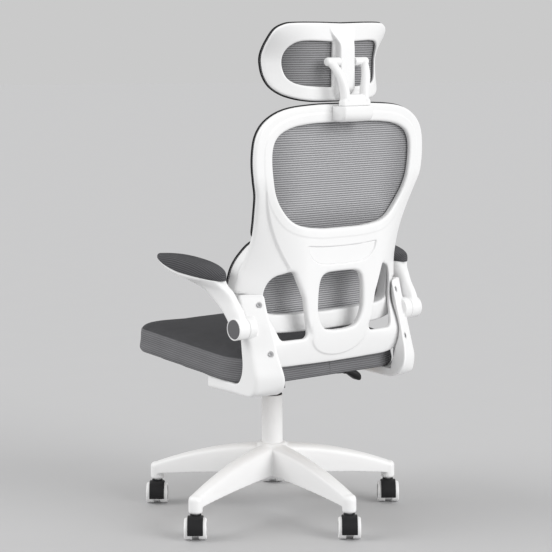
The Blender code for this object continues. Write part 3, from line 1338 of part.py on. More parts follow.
def main():
    clear_scene()
    root = axis_empty("chair_root", (0.0, 0.0, 0.0))
    root.location = (COLUMN_X, COLUMN_Y, 0.0)
    carrier = axis_empty("base_turn", (0.0, 0.0, 0.0), root, (0.0, 0.0, BASE_TURN))
    swivel = axis_empty("seat_swivel", (0.0, 0.0, 0.0), root)
    lift = axis_empty("seat_height", (0.0, 0.0, CYLINDER_TOP), swivel)
    valve_axis = axis_empty("valve_press", (0.0, 0.0, CYLINDER_TOP), lift)
    collar = (-(HOUSING_HALF - HOUSING_WALL / 2.0), 0.0, LEVER_Z)
    lever_axis = axis_empty("lever_lift", collar, lift)
    pull_axis = axis_empty("lever_pull", collar, lever_axis)
    knob_axis = axis_empty("knob_turn", (0.0, KNOB_Y, HOUSING_BOTTOM), lift)
    tilt = axis_empty("back_tilt", (0.0, TILT_Y, TILT_Z), lift)
    slide = axis_empty("headrest_height", (0.0, FORK_Y, SADDLE_TOP), tilt)
    nod = axis_empty("headrest_tilt", (0.0, HEAD_PIVOT_Y, HEAD_Z), slide)

    make_star_base(carrier)
    make_casters(root, carrier)
    valve, seat = make_lift(carrier, swivel, lift)
    make_mechanism(lift, valve_axis, valve, seat)
    make_knob(knob_axis)
    make_lever(lever_axis, pull_axis)
    make_seat(tilt)
    make_back_frame(tilt)
    make_back_mesh(tilt)
    look = finish("arm_white", WHITE, 0.38)
    for name, side in (("left", 1.0), ("right", -1.0)):
        make_bracket(name, side, tilt, look)
        flip = axis_empty(f"arm_flip_{name}", (side * BRACKET_OUTER, ARM_Y, ARM_Z), tilt)
        make_arm(name, side, flip, look)
    make_headrest(tilt, slide, nod)


if __name__ == "__main__":
    main()
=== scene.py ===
"""Looks of the mesh-back office chair: fine surfaces, cloth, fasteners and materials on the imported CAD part.

Metres, +Z up; the sitter faces -Y and the sitter's left is +X. Shapes are written in the lift column's frame,
with the column's axis at x = y = 0, and are carried to the part's frame when their meshes are made.
"""

import math

import bmesh
import bpy
import numpy as np
from bpy.props import FloatProperty, FloatVectorProperty, PointerProperty
from mathutils import Matrix, Vector
from mathutils.bvhtree import BVHTree
from mathutils.geometry import delaunay_2d_cdt


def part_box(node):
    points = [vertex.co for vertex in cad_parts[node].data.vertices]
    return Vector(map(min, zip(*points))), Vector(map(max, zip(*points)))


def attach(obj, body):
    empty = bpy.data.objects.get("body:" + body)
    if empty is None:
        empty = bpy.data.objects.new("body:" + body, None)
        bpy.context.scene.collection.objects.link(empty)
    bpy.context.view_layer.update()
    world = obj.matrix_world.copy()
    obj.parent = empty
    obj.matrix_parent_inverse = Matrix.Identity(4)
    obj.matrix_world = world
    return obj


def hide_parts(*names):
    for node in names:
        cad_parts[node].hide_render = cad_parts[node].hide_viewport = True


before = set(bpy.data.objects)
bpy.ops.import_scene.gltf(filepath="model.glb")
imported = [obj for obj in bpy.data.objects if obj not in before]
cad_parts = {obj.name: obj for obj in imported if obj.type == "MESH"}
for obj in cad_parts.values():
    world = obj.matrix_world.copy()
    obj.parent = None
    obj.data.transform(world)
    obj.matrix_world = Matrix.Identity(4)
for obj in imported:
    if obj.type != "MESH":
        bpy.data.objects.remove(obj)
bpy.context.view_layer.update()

bl_info = {
    "name": "Mesh-back office chair",
    "version": (1, 0, 0),
    "blender": (4, 5, 0),
    "location": "View3D > Sidebar > Chair",
    "description": "Builds the shown surfaces of a mesh-back office chair on its CAD frame",
    "category": "Object",
}

COLUMN = np.array((sum(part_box("gas_cylinder"), Vector()) * 0.5)[:2] + (0.0,))
# Clearance between pieces that meet
GAP = 0.0003
LEGS = 5
SIDES = (("left", 1.0), ("right", -1.0))

# Half outlines in (x, z), from the top centre to the bottom centre
FRAME_SIDE = (
    (0.0, 0.985),
    (0.09, 0.984),
    (0.165, 0.976),
    (0.212, 0.955),
    (0.238, 0.922),
    (0.2455, 0.875),
    (0.2415, 0.825),
    (0.229, 0.78),
    (0.2165, 0.70),
    (0.223, 0.64),
    (0.234, 0.585),
    (0.234, 0.5668),
)
FRAME_FOOT = (
    (0.216, 0.5668),
    (0.2125, 0.50),
    (0.20, 0.44),
    (0.175, 0.405),
    (0.09, 0.40),
    (0.0, 0.3985),
)
TOP_WINDOW = (
    (0.0, 0.946),
    (0.11, 0.9425),
    (0.165, 0.931),
    (0.1935, 0.908),
    (0.2005, 0.867),
    (0.191, 0.803),
    (0.167, 0.757),
    (0.130, 0.7225),
    (0.068, 0.7095),
    (0.0, 0.708),
)
LOW_WINDOW = (
    (0.0, 0.6085),
    (0.035, 0.6075),
    (0.053, 0.6015),
    (0.062, 0.585),
    (0.0655, 0.55),
    (0.0635, 0.512),
    (0.047, 0.482),
    (0.02, 0.4745),
    (0.0, 0.474),
)
# Corners of a side window and their radii
SIDE_WINDOW = (
    (0.130, 0.6165),
    (0.172, 0.604),
    (0.188, 0.572),
    (0.183, 0.525),
    (0.162, 0.461),
    (0.089, 0.461),
    (0.104, 0.552),
)
SIDE_WINDOW_RADII = (0.008, 0.036, 0.06, 0.06, 0.014, 0.012, 0.0)
# Upper and lower edge of the recess, the +X half of each
RECESS_BROW = ((0.0, 0.6655), (0.055, 0.667), (0.100, 0.671))
RECESS_BELLY = ((0.100, 0.671), (0.094, 0.652), (0.076, 0.634), (0.05, 0.6265), (0.0, 0.6245))
# Distances inwards from the recess, and outwards from the upper window, where the surface turns
RECESS_BLEND = 0.0006
GROOVE_HALF = 0.0016
RECESS_LINES = (-0.0030, -GROOVE_HALF, -RECESS_BLEND, RECESS_BLEND, GROOVE_HALF, 0.0030)
RIM_FADE = (0.0205, 0.0230)
RIM_LINES = (-0.0190, -RIM_FADE[0], -RIM_FADE[1], -0.0245)
# Lower edge of the back net, and the +X halves of the lumbar ring and the headrest
NET_FOOT = ((0.2145, 0.70), (0.198, 0.692), (0.1, 0.6885), (0.0, 0.688))
LUMBAR_SIDE = (
    (0.0, 0.6935),
    (0.10, 0.6925),
    (0.165, 0.688),
    (0.195, 0.677),
    (0.212, 0.656),
    (0.2235, 0.628),
    (0.2295, 0.594),
    (0.232, 0.565),
    (0.226, 0.525),
    (0.207, 0.495),
    (0.168, 0.477),
    (0.10, 0.471),
    (0.0, 0.469),
)
HEAD_SIDE = (
    (0.0, 1.162),
    (0.06, 1.1635),
    (0.12, 1.1635),
    (0.142, 1.1605),
    (0.1595, 1.149),
    (0.1655, 1.1255),
    (0.164, 1.086),
    (0.160, 1.045),
    (0.149, 1.0185),
    (0.124, 1.0015),
    (0.078, 0.9925),
    (0.0, 0.9915),
)
# Points round one window of the headrest
HEAD_WINDOW = (
    (0.026, 1.122),
    (0.09, 1.1245),
    (0.118, 1.119),
    (0.1325, 1.100),
    (0.1340, 1.067),
    (0.1235, 1.0395),
    (0.094, 1.0265),
    (0.026, 1.022),
)
# Sections of an arm: height, front, rear, middle x, half thickness, share of the pad's tilt
ARM_SECTIONS = (
    (0.486, 0.190, 0.230, 0.2555, 0.0140, 0.0),
    (0.500, 0.188, 0.232, 0.2555, 0.0145, 0.0),
    (0.530, 0.160, 0.222, 0.2555, 0.0140, 0.0),
    (0.555, 0.124, 0.205, 0.257, 0.0135, 0.2),
    (0.577, 0.0856, 0.190, 0.261, 0.016, 0.6),
    (0.592, 0.010, 0.178, 0.266, 0.021, 1.0),
)

# Heights between which the back frame's waist bends forward and straightens, its spine rises from the
# crossbar and levels out again, and its wall grows to the full thickness
WAIST_RISE = (0.44, 0.54)
WAIST_FALL = (0.60, 0.83)
SPINE_RISE = (0.44, 0.50)
SPINE_FADE = (0.74, 0.84)
WALL_RISE = (0.41, 0.48)
# The spine's edge: half width at a height, its slope, and how far it bows out over a stretch
CREASE_X = 0.137
CREASE_Z = 0.614
CREASE_SLOPE = 0.379
CREASE_BOW = 0.011
BOW_FOOT = 0.62
BOW_TALL = 0.22
CREASE_BLEND = 0.0016
CREASE_SPAN = (0.625, 0.80)
CREASE_LINES = (-0.0034, -CREASE_BLEND, 0.0, CREASE_BLEND, 0.0034)
SPINE_END = 0.461
SPINE_END_DEEP = 0.046
# The lumbar ring's front: height below which it keeps the wings' line, its stand-off and its blend
LUMBAR_LEVEL = 0.56
LUMBAR_STAND = 0.0024
LUMBAR_BLEND = 0.02
# Heights of the headrest's bar: its ends, where it grows out of the frame and sinks back, and where it flares
BAR_ENDS = (0.997, 1.158)
BAR_RISE = (0.994, 1.020)
BAR_FALL = (1.108, 1.154)
BAR_FLARE = (1.112, 1.156)
# A bracket's limb: rear face at a place (x, z), its lean and its slant, and the boss that the arm turns on
LIMB_REAR = 0.2165
LIMB_PLACE = (0.202, 0.544)
LIMB_LEAN = 0.331
LIMB_SLANT = 0.577
BOSS_ROOT = 0.2195
BOSS_FACE = 0.2405
BOLTS = ((0.2036, 0.544), (0.2006, 0.438))
# The lever: heights of its rod and of its end, where the paddle starts, and the paddle's sizes
LEVER_HIGH = 0.3265
LEVER_LOW = 0.3125
PADDLE_START = -0.226
PADDLE_LONG = 0.048
PADDLE_DROOP = 0.019
PADDLE_HALF = 0.015
PADDLE_RISE = 0.0112
# The cushion's cloth simulation: its steps, pressure, furthest move, and the height below which it is held
PUFF_STEPS = 20
PUFF_PRESSURE = 4.0
PUFF_LIMIT = 0.004
HELD_BELOW = 0.013
# Depths under the cushion's edge between which its side cloth gives way to the top's, and the place of its
# piping
TOP_CLOTH = (0.0120, 0.0100)
WELT_DEPTH = 0.0113
WELT_INSET = 0.0056
# Width of a stitch of the nets
STITCH = 0.0021
# The camera: solved angles, distance, place of its target beside and above the column, and focal length
CAMERA_AZIMUTH = math.radians(141.88)
CAMERA_ELEVATION = math.radians(7.56)
CAMERA_ROLL = math.radians(-0.329)
CAMERA_DISTANCE = 4.302
TARGET_RIGHT = 0.0113
TARGET_HEIGHT = 0.5701
FOCAL_PIXELS = 1811.6
PICTURE_PIXELS = 552.0
SENSOR = 36.0
# Strength of the studio's air, and how much less of it the camera sees
AIR_LIGHT = 0.70
AIR_SEEN_LESS = 0.109
# CAD pieces of bright steel
STEEL_NODES = ("tilt_spring", "tilt_shaft", "gas_piston_rod", "thrust_bearing", "retaining_clip")
STEEL_NODES += ("headrest_pin", "arm_pin_left", "arm_pin_right")
STEEL_NODES += tuple(f"caster_stem_{number}" for number in range(1, LEGS + 1))


def length(name, description, value):
    return FloatProperty(name=name, description=description, default=value, unit="LENGTH", precision=4)


def angle(name, description, degrees):
    return FloatProperty(name=name, description=description, default=math.radians(degrees), subtype="ANGLE")


def plain(name, description, value):
    return FloatProperty(name=name, description=description, default=value, subtype="FACTOR")


def colour(name, description, value):
    return FloatVectorProperty(
        name=name, description=description, default=value, subtype="COLOR", size=3, min=0.0, max=1.0
    )


class ChairBack(bpy.types.PropertyGroup):
    rear: length("Rear", "Rear face of the frame on its centre line, at mid height", 0.2585)
    middle: length("Mid height", "Height where the rear face is measured", 0.50)
    lean: plain("Lean", "Backward lean of the frame, as rear travel over height", 0.042)
    foot: length("Foot", "Height of the frame's lower edge", 0.3985)
    tuck: length("Tuck", "How far the foot comes forward", 0.0165)
    wall: length("Wall", "Thickness of the moulded frame", 0.018)
    foot_wall: length("Foot wall", "Thickness of the crossbar at the foot", 0.009)
    flat: length("Flat half", "Half width of the part that isn't bent forward", 0.10)
    waist: plain("Waist wrap", "Strength of the forward bend at the waist", 1.65)
    ends: plain("End wrap", "Strength of the forward bend at the top and the foot", 0.21)
    step: length("Spine step", "Height of the raised spine over the wings", 0.0052)
    rim: length("Rim", "Height of the raised rim round the upper window", 0.0013)
    foot_step: length("Foot step", "Height of the spine's rounded end over the crossbar", 0.0028)
    recess: length("Recess", "Depth of the bare recess in the spine", 0.0034)
    groove: length("Groove", "Depth of the fine groove round the recess", 0.0016)
    edge: length("Edge", "Radius of the frame's rounded edges", 0.0068)
    cell: length("Cell", "Spacing of the points of the moulded surfaces", 0.007)


class ChairNet(bpy.types.PropertyGroup):
    thick: length("Thickness", "Thickness of the knitted net", 0.0011)
    stand: length("Stand", "Distance of the net's middle from the frame's front", 0.0018)
    pitch: length("Rib pitch", "Distance between two ribs of the net", 0.0050)
    rib: length("Rib height", "Half height of a rib", 0.0003)
    hem_wide: length("Hem width", "Half width of the hem round a net", 0.0015)
    hem_deep: length("Hem depth", "Half depth of the hem round a net", 0.0017)
    lumbar_deep: length("Lumbar depth", "Depth of the lumbar ring", 0.027)
    lumbar_band: length("Lumbar band", "Width of the lumbar ring's band", 0.042)
    lumbar_flat: length("Lumbar flat", "Rear limit of the lumbar ring", 0.206)
    lumbar_gap: length("Lumbar gap", "Distance of the lumbar ring from the frame", 0.0017)


class ChairHead(bpy.types.PropertyGroup):
    rear: length("Rear", "Rear face of the headrest on its centre line", 0.262)
    middle: length("Pivot height", "Height of the headrest's pin", 1.078)
    sag: plain("Scoop", "Forward bend of the sides at mid height", 18.2)
    sag_top: plain("Top scoop", "Forward bend of the sides at the top", 8.6)
    sag_foot: plain("Foot scoop", "Forward bend of the sides at the foot", 14.0)
    rise: length("Rise", "Height above the pin where the scoop is least", 0.080)
    drop: length("Drop", "Depth below the pin where the foot's scoop holds", 0.077)
    lean: plain("Lean", "Backward lean of the headrest", 0.03)
    wall: length("Wall", "Thickness of the headrest's frame", 0.010)
    edge: length("Edge", "Radius of its rounded edges", 0.0042)
    bar: length("Bar half", "Half width of the bar behind the headrest", 0.0205)
    bar_rear: length("Bar rear", "Rear face of the bar", 0.2818)
    pin: length("Pin", "Distance of the pin behind the column", 0.2765)
    fork: length("Fork", "Distance of the fork's arms behind the column", 0.2965)
    stem: length("Stem", "Distance of the fork's stem behind the column", 0.3045)
    fork_half: length("Fork half", "Half width over the fork's bosses", 0.060)
    saddle_rear: length("Saddle rear", "Rear face of the saddle on the frame's rim", 0.321)
    saddle_half: length("Saddle half", "Half width of the saddle", 0.0425)
    saddle_low: length("Saddle bottom", "Lower edge of the saddle", 0.946)
    saddle_top: length("Saddle top", "Upper edge of the saddle", 0.981)


class ChairSeat(bpy.types.PropertyGroup):
    half: length("Half width", "Half width of the cushion", 0.252)
    front: length("Front", "Front edge of the cushion", -0.229)
    rear: length("Rear", "Rear edge of the cushion", 0.222)
    under: length("Underside", "Height of the cushion's underside over the column", 0.376)
    slope: angle("Slope", "Fall of the seat towards its rear", 4.0)
    edge: length("Edge", "Height of the cushion's boxed side", 0.066)
    crown: length("Crown", "Rise of the cushion's middle over its edge", 0.011)
    front_corner: length("Front corner", "Radius of the front corners in plan", 0.048)
    rear_corner: length("Rear corner", "Radius of the rear corners in plan", 0.112)
    pan_inset: length("Pan inset", "Distance of the pan from the cushion's edge", 0.030)
    pan: length("Pan", "Depth of the recess that takes the pan", 0.0123)
    welt: length("Welt", "Radius of the piping round the top", 0.0021)
    voxel: length("Voxel", "Cell size of the skin that is puffed up", 0.006)


class ChairArms(bpy.types.PropertyGroup):
    outer: length("Bracket outer", "Outer face of a bracket", 0.2375)
    top: length("Bracket top", "Top of a bracket's limb", 0.5665)
    bottom: length("Bracket bottom", "Underside of a bracket's foot", 0.3405)
    front: length("Bracket front", "Front end of a bracket's foot", 0.066)
    pivot_y: length("Pivot y", "Distance of the arm's pin behind the column", 0.2098)
    pivot_z: length("Pivot height", "Height of the arm's pin", 0.4957)
    hub: length("Hub radius", "Radius of the arm's hub", 0.025)
    hub_outer: length("Hub outer", "Outer face of the arm's hub", 0.270)
    cap: length("Cap", "Thickness of the hub's cap", 0.003)
    pad_x: length("Pad middle", "Middle of an arm pad", 0.270)
    pad_front: length("Pad front", "Front end of an arm pad", -0.070)
    pad_rear: length("Pad rear", "Rear end of an arm pad", 0.176)
    pad_half: length("Pad half", "Half width of an arm pad", 0.0385)
    pad_thick: length("Pad thickness", "Thickness of an arm pad", 0.033)
    pad_under: length("Pad underside", "Height of the pad's underside at its rear", 0.599)
    pad_slope: angle("Pad slope", "Rise of the pad towards its front", 4.5)
    bolt: length("Bolt radius", "Radius of a bracket bolt's head", 0.0052)


class ChairBase(bpy.types.PropertyGroup):
    turn: angle("Turn", "How far the star base is turned under the seat", -2.1)
    circle: length("Stem circle", "Radius of the circle of the caster stems", 0.298)
    end_bottom: length("Leg end bottom", "Underside of a leg's sleeve", 0.0583)
    end_top: length("Leg end top", "Top of a leg's end", 0.099)
    root_top: length("Leg root top", "Top of a leg at the hub", 0.164)
    root_bottom: length("Leg root bottom", "Underside of a leg at the hub", 0.094)
    root_half: length("Leg root half", "Half width of a leg at the hub", 0.026)
    end_half: length("Leg end half", "Half width of a leg at its end", 0.0162)
    wall: length("Leg wall", "Thickness of a leg's walls", 0.0050)
    sleeve: length("Sleeve", "Radius of the sleeve round a stem", 0.0162)
    hub: length("Hub", "Radius of the base's hub", 0.037)
    hub_top: length("Hub top", "Top of the base's hub", 0.170)
    hub_bottom: length("Hub bottom", "Underside of the base's hub", 0.092)
    tube: length("Tube", "Radius of the gas lift's tube", 0.025)
    tube_top: length("Tube top", "Top of the gas lift's tube", 0.285)
    cylinder: length("Cylinder", "Radius of the gas cylinder", 0.014)
    voxel: length("Voxel", "Cell size of the base's skin", 0.0018)


class ChairCasters(bpy.types.PropertyGroup):
    radius: length("Wheel radius", "Radius of a wheel", 0.025)
    width: length("Wheel width", "Width of a wheel", 0.018)
    web: length("Web", "Width of the web between two wheels", 0.015)
    trail: length("Trail", "Distance of the axle behind the stem", 0.012)
    heading: angle("Heading", "Direction of the casters", 51.9)
    hood: length("Hood width", "Width of the hood over the wheels", 0.036)
    wall: length("Hood wall", "Thickness of the hood", 0.0033)
    low: length("Hood bottom", "Height of the hood's lower edge", 0.015)


class ChairColours(bpy.types.PropertyGroup):
    white: colour("White plastic", "Colour of the moulded white parts", (0.86, 0.86, 0.86))
    black: colour("Black plastic", "Colour of the black parts", (0.013, 0.013, 0.014))
    # Ribs lighter than the ground: the knit's pattern, partly a painted highlight on the ribs and painted
    # shade between them
    net: colour("Net", "Colour of the net's ribs", (0.60, 0.60, 0.615))
    net_dark: colour("Net ground", "Colour between the net's ribs", (0.285, 0.285, 0.296))
    cloth: colour("Seat side", "Colour of the cushion's sides", (0.175, 0.175, 0.182))
    cloth_top: colour("Seat top", "Colour of the cushion's top", (0.078, 0.078, 0.082))
    pad: colour("Arm pads", "Colour of the arm pads", (0.085, 0.085, 0.09))
    steel: colour("Steel", "Colour of the bright steel", (0.62, 0.62, 0.63))
    red: colour("Valve", "Colour of the valve button", (0.35, 0.02, 0.02))
    board: colour("Pan", "Colour of the seat pan's board", (0.33, 0.23, 0.14))
    floor: colour("Floor", "Colour of the studio floor", (0.536, 0.536, 0.540))


def eased(low, high, value):
    """3 t^2 - 2 t^3, where t goes from 0 at low to 1 at high."""
    share = np.clip((np.asarray(value, float) - low) / (high - low), 0.0, 1.0)
    return share * share * (3.0 - 2.0 * share)


def curve_through(points, per_span):
    """Catmull-Rom: P(t) = (2b + (c-a)t + (2a-5b+4c-d)t^2 + (3b-a-3c+d)t^3) / 2 between the knots b and c."""
    knots = np.asarray(points, float)
    knots = np.vstack([2.0 * knots[0] - knots[1], knots, 2.0 * knots[-1] - knots[-2]])
    a, b, c, d = (knots[k : len(knots) - 3 + k, None, :] for k in range(4))
    t = (np.arange(per_span) / per_span)[None, :, None]
    made = 2 * b + (c - a) * t + (2 * a - 5 * b + 4 * c - d) * t**2 + (3 * b - a - 3 * c + d) * t**3
    return np.vstack([0.5 * made.reshape(-1, knots.shape[1]), knots[-2]])


def even(curve, count, closed=False):
    """The curve at count points an equal way apart along it."""
    run = np.vstack([curve, curve[:1]]) if closed else np.asarray(curve, float)
    way = np.concatenate([[0.0], np.cumsum(np.linalg.norm(np.diff(run, axis=0), axis=1))])
    at = np.linspace(0.0, way[-1], count, endpoint=not closed)
    return np.column_stack([np.interp(at, way, run[:, k]) for k in range(run.shape[1])])


def spaced(loop, step):
    """The closed loop at points about this far apart."""
    total = np.linalg.norm(np.roll(loop, -1, axis=0) - loop, axis=1).sum()
    return even(loop, max(3, round(total / step)), True)


def mirrored_loop(half):
    """A closed outline from its +X half, which runs from the top centre to the bottom centre."""
    half = np.asarray(half, float)
    return np.vstack([half, (half * (-1.0, 1.0))[-2:0:-1]])


def rounded(corners, radii, steps):
    """A closed outline whose corners are arcs of the given radii."""
    points = np.asarray(corners, float)
    outline = []
    for k, here in enumerate(points):
        before, after = points[k - 1] - here, points[(k + 1) % len(points)] - here
        if radii[k] < 1e-6:
            outline.append(here)
            continue
        back, ahead = before / np.linalg.norm(before), after / np.linalg.norm(after)
        half = 0.5 * math.acos(float(np.clip(back @ ahead, -1.0, 1.0)))
        reach = radii[k] / math.tan(half)
        middle = here + (back + ahead) / np.linalg.norm(back + ahead) * radii[k] / math.sin(half)
        for share in np.arange(steps + 1) / steps:
            way = here + (back * (1.0 - share) + ahead * share) * reach - middle
            outline.append(middle + way / np.linalg.norm(way) * radii[k])
    return np.array(outline)


def inside(points, loop):
    """Which points lie inside a closed loop, by counting crossings."""
    x, z = points[:, 0][:, None], points[:, 1][:, None]
    ax, az = loop[:, 0], loop[:, 1]
    bx, bz = np.roll(ax, -1), np.roll(az, -1)
    spans = (az > z) != (bz > z)
    rise = np.where(bz == az, 1e-12, bz - az)
    return ((x < ax + (z - az) / rise * (bx - ax)) & spans).sum(axis=1) % 2 == 1


def distance_to(points, loop):
    """Distance of each point from a closed loop."""
    start, end = loop, np.roll(loop, -1, axis=0)
    way = end - start
    squared = np.maximum((way**2).sum(axis=1), 1e-12)
    share = ((points[:, None, :] - start) * way).sum(axis=2) / squared
    nearest = start + np.clip(share, 0.0, 1.0)[..., None] * way
    return np.linalg.norm(points[:, None, :] - nearest, axis=2).min(axis=1)


def offset_loop(loop, distance):
    """The loop moved towards its inside, by each point's mean edge normal."""
    area = np.sum(loop[:, 0] * np.roll(loop[:, 1], -1) - np.roll(loop[:, 0], -1) * loop[:, 1])
    way = np.roll(loop, -1, axis=0) - loop
    way /= np.linalg.norm(way, axis=1)[:, None]
    normal = np.column_stack([-way[:, 1], way[:, 0]]) * np.sign(area)
    mean = normal + np.roll(normal, 1, axis=0)
    mean /= np.maximum((mean**2).sum(axis=1) / 2.0, 0.5)[:, None]
    return loop + mean * distance


def quads(rows, columns, wrap=True, loop=False):
    """Faces of a rows x columns grid of points; wrap joins its last column to its first, loop its rows."""
    row = np.arange(rows if loop else rows - 1)[:, None]
    column = np.arange(columns if wrap else columns - 1)[None, :]
    below, beside = (row + 1) % rows, (column + 1) % columns
    corners = [row * columns + column, row * columns + beside]
    corners += [below * columns + beside, below * columns + column]
    return np.stack([np.broadcast_to(c, (row.size, column.size)).ravel() for c in corners], axis=1)


def loft(rings, loop=False):
    """P(i, j): point j of ring i; the rings are skinned in order, with ends filled, or joined in a loop."""
    rings = np.asarray(rings, float)
    rows, columns = rings.shape[:2]
    faces = [quads(rows, columns, True, loop)]
    if not loop:
        faces += [np.arange(columns)[None, ::-1], (rows - 1) * columns + np.arange(columns)[None, :]]
    return rings.reshape(-1, 3), faces


def full_turn(count):
    """Angles at count equal steps round a circle."""
    return 2.0 * np.pi * np.arange(count) / count


def lathe(profile, steps, centre=(0.0, 0.0, 0.0), axis="Z"):
    """P(i, t) = centre + r_i (cos t, sin t) across the axis + h_i along it, for t round a full turn."""
    profile = np.asarray(profile, float)
    turn = full_turn(steps)
    across, along = profile[:, :1] * np.cos(turn), profile[:, :1] * np.sin(turn)
    height = np.broadcast_to(profile[:, 1:], across.shape)
    order = {"X": (height, across, along), "Y": (across, height, along), "Z": (across, along, height)}
    return loft(np.stack(order[axis], axis=2) + np.asarray(centre, float), True)


def turned(profile, side, steps, centre, axis="X"):
    """A profile of (radius, height) turned about a level axis, with its heights on one side."""
    return lathe([(radius, side * height) for radius, height in profile], steps, centre, axis)


def section(ring, axis, value):
    """A flat ring as points in space, with this value on the axis across it."""
    return np.insert(np.asarray(ring, float), axis, value, axis=1)


def box_ring(half, low, high, radii, steps):
    """A rounded rectangle, 2 half wide, from low to high."""
    return rounded([(-half, low), (half, low), (half, high), (-half, high)], radii, steps)


def tube(path, radius, sides, closed=False):
    """P(s, a) = path(s) + r(s) (cos a N(s) + sin a B(s)), where N and B turn with the path untwisted."""
    path = np.asarray(path, float)
    ahead = np.roll(path, -1, axis=0) - np.roll(path, 1, axis=0) if closed else np.gradient(path, axis=0)
    ahead /= np.linalg.norm(ahead, axis=1)[:, None]
    radius = np.broadcast_to(radius, len(path))
    turn = full_turn(sides)
    side = np.cross(ahead[0], (0.0, 0.0, 1.0) if abs(ahead[0][2]) < 0.9 else (1.0, 0.0, 0.0))
    rings = []
    for point, way, reach in zip(path, ahead, radius):
        side = side - way * (side @ way)
        side = side / np.linalg.norm(side)
        ring = np.cos(turn)[:, None] * side + np.sin(turn)[:, None] * np.cross(way, side)
        rings.append(point + reach * ring)
    return loft(rings, closed)


def together(*shapes):
    """Several shapes as one."""
    points, faces, start = [], [], 0
    for made, parts in shapes:
        points.append(made)
        faces += [part + start for part in parts]
        start += len(made)
    return np.vstack(points), faces


def placed(shape, matrix):
    """A shape carried by a 3 x 3 or 4 x 4 matrix."""
    points, faces = shape
    matrix = np.asarray(matrix, float)
    moved = points @ matrix[:3, :3].T
    return (moved + matrix[:3, 3] if matrix.shape[0] == 4 else moved), faces


def plate(outline, holes, front, rear, edge, cell, lines=(), front_edge=None):
    """A plate with windows in the XZ plane, bent between the surfaces y = front(x, z) and y = rear(x, z).

    Its faces are triangulated over a grid of cells. Its rims are quarter rounds: for a from 0 to 90 degrees,
    inset = edge (1 - sin a) and depth = edge (1 - cos a), with the depth kept under 0.45 of the wall. The
    rounding in front may be shallower.
    """
    loops = [(np.asarray(outline, float), 1.0)] + [(np.asarray(hole, float), -1.0) for hole in holes]
    rims = [offset_loop(loop, sign * edge).astype(np.float32).astype(float) for loop, sign in loops]
    low, high = rims[0].min(axis=0), rims[0].max(axis=0)
    grid_x = np.arange(math.ceil(low[0] / cell), high[0] / cell) * cell
    grid_z = np.arange(math.ceil(low[1] / cell), high[1] / cell) * cell
    grid = np.stack(np.meshgrid(grid_x, grid_z), axis=2).reshape(-1, 2)

    def within(places):
        """Which places lie inside the plate's rim and outside its windows."""
        return inside(places, rims[0]) & ~np.any([inside(places, rim) for rim in rims[1:]], axis=0)

    grid = grid[within(grid)]
    near = np.min([distance_to(grid, rim) for rim in rims], axis=0) > 0.6 * cell
    for line in lines:
        near &= np.linalg.norm(grid[:, None, :] - line, axis=2).min(axis=1) > 0.6 * cell
    points, edges, starts = [], [], []
    for rim in rims:
        starts.append(len(points))
        edges += [(starts[-1] + k, starts[-1] + (k + 1) % len(rim)) for k in range(len(rim))]
        points += list(rim)
    for line in lines:
        edges += [(len(points) + k, len(points) + k + 1) for k in range(len(line) - 1)]
        points += list(line)
    points += list(grid[near])
    found, _, triangles, origin, _, _ = delaunay_2d_cdt([Vector(p) for p in points], edges, [], 0, 1e-6)
    flat = np.array([tuple(p) for p in found], float)
    triangles = np.array(triangles)
    triangles = triangles[within(flat[triangles].mean(axis=1))]
    new_of = {source: k for k, sources in enumerate(origin) for source in sources}

    made = [section(flat, 1, surface(*flat.T)) for surface in (front, rear)]
    faces = [triangles, triangles[:, ::-1] + len(flat)]
    count = 2 * len(flat)
    rounds = np.radians(np.linspace(0.0, 90.0, 6)[1:])
    for (loop, sign), start in zip(loops, starts):
        first = np.array([new_of[start + k] for k in range(len(loop))])
        rows = [first]
        for surface, deepest, angles in ((front, front_edge or edge, rounds), (rear, -edge, rounds[::-1])):
            for turn in angles:
                ring = offset_loop(loop, sign * edge * (1.0 - math.sin(turn)))
                wall = rear(*ring.T) - front(*ring.T)
                depth = np.clip(deepest, -0.45 * wall, 0.45 * wall) * (1.0 - math.cos(turn))
                made.append(section(ring, 1, surface(*ring.T) + depth))
                rows.append(count + np.arange(len(loop)))
                count += len(loop)
        rows.append(first + len(flat))
        for upper, lower in zip(rows, rows[1:]):
            faces.append(np.stack([upper, np.roll(upper, -1), np.roll(lower, -1), lower], axis=1))
    return np.vstack(made), faces


def coons(bottom, top, left, right):
    """P(u, v) = (1-v) B(u) + v T(u) + (1-u) L(v) + u R(v), less the bilinear patch of the four corners."""
    u = np.linspace(0.0, 1.0, len(bottom))[None, :, None]
    v = np.linspace(0.0, 1.0, len(left))[:, None, None]
    ruled = (1 - v) * bottom[None] + v * top[None] + (1 - u) * left[:, None] + u * right[:, None]
    corners = (1 - u) * (1 - v) * bottom[0] + u * (1 - v) * bottom[-1]
    return ruled - corners - (1 - u) * v * top[0] - u * v * top[-1]


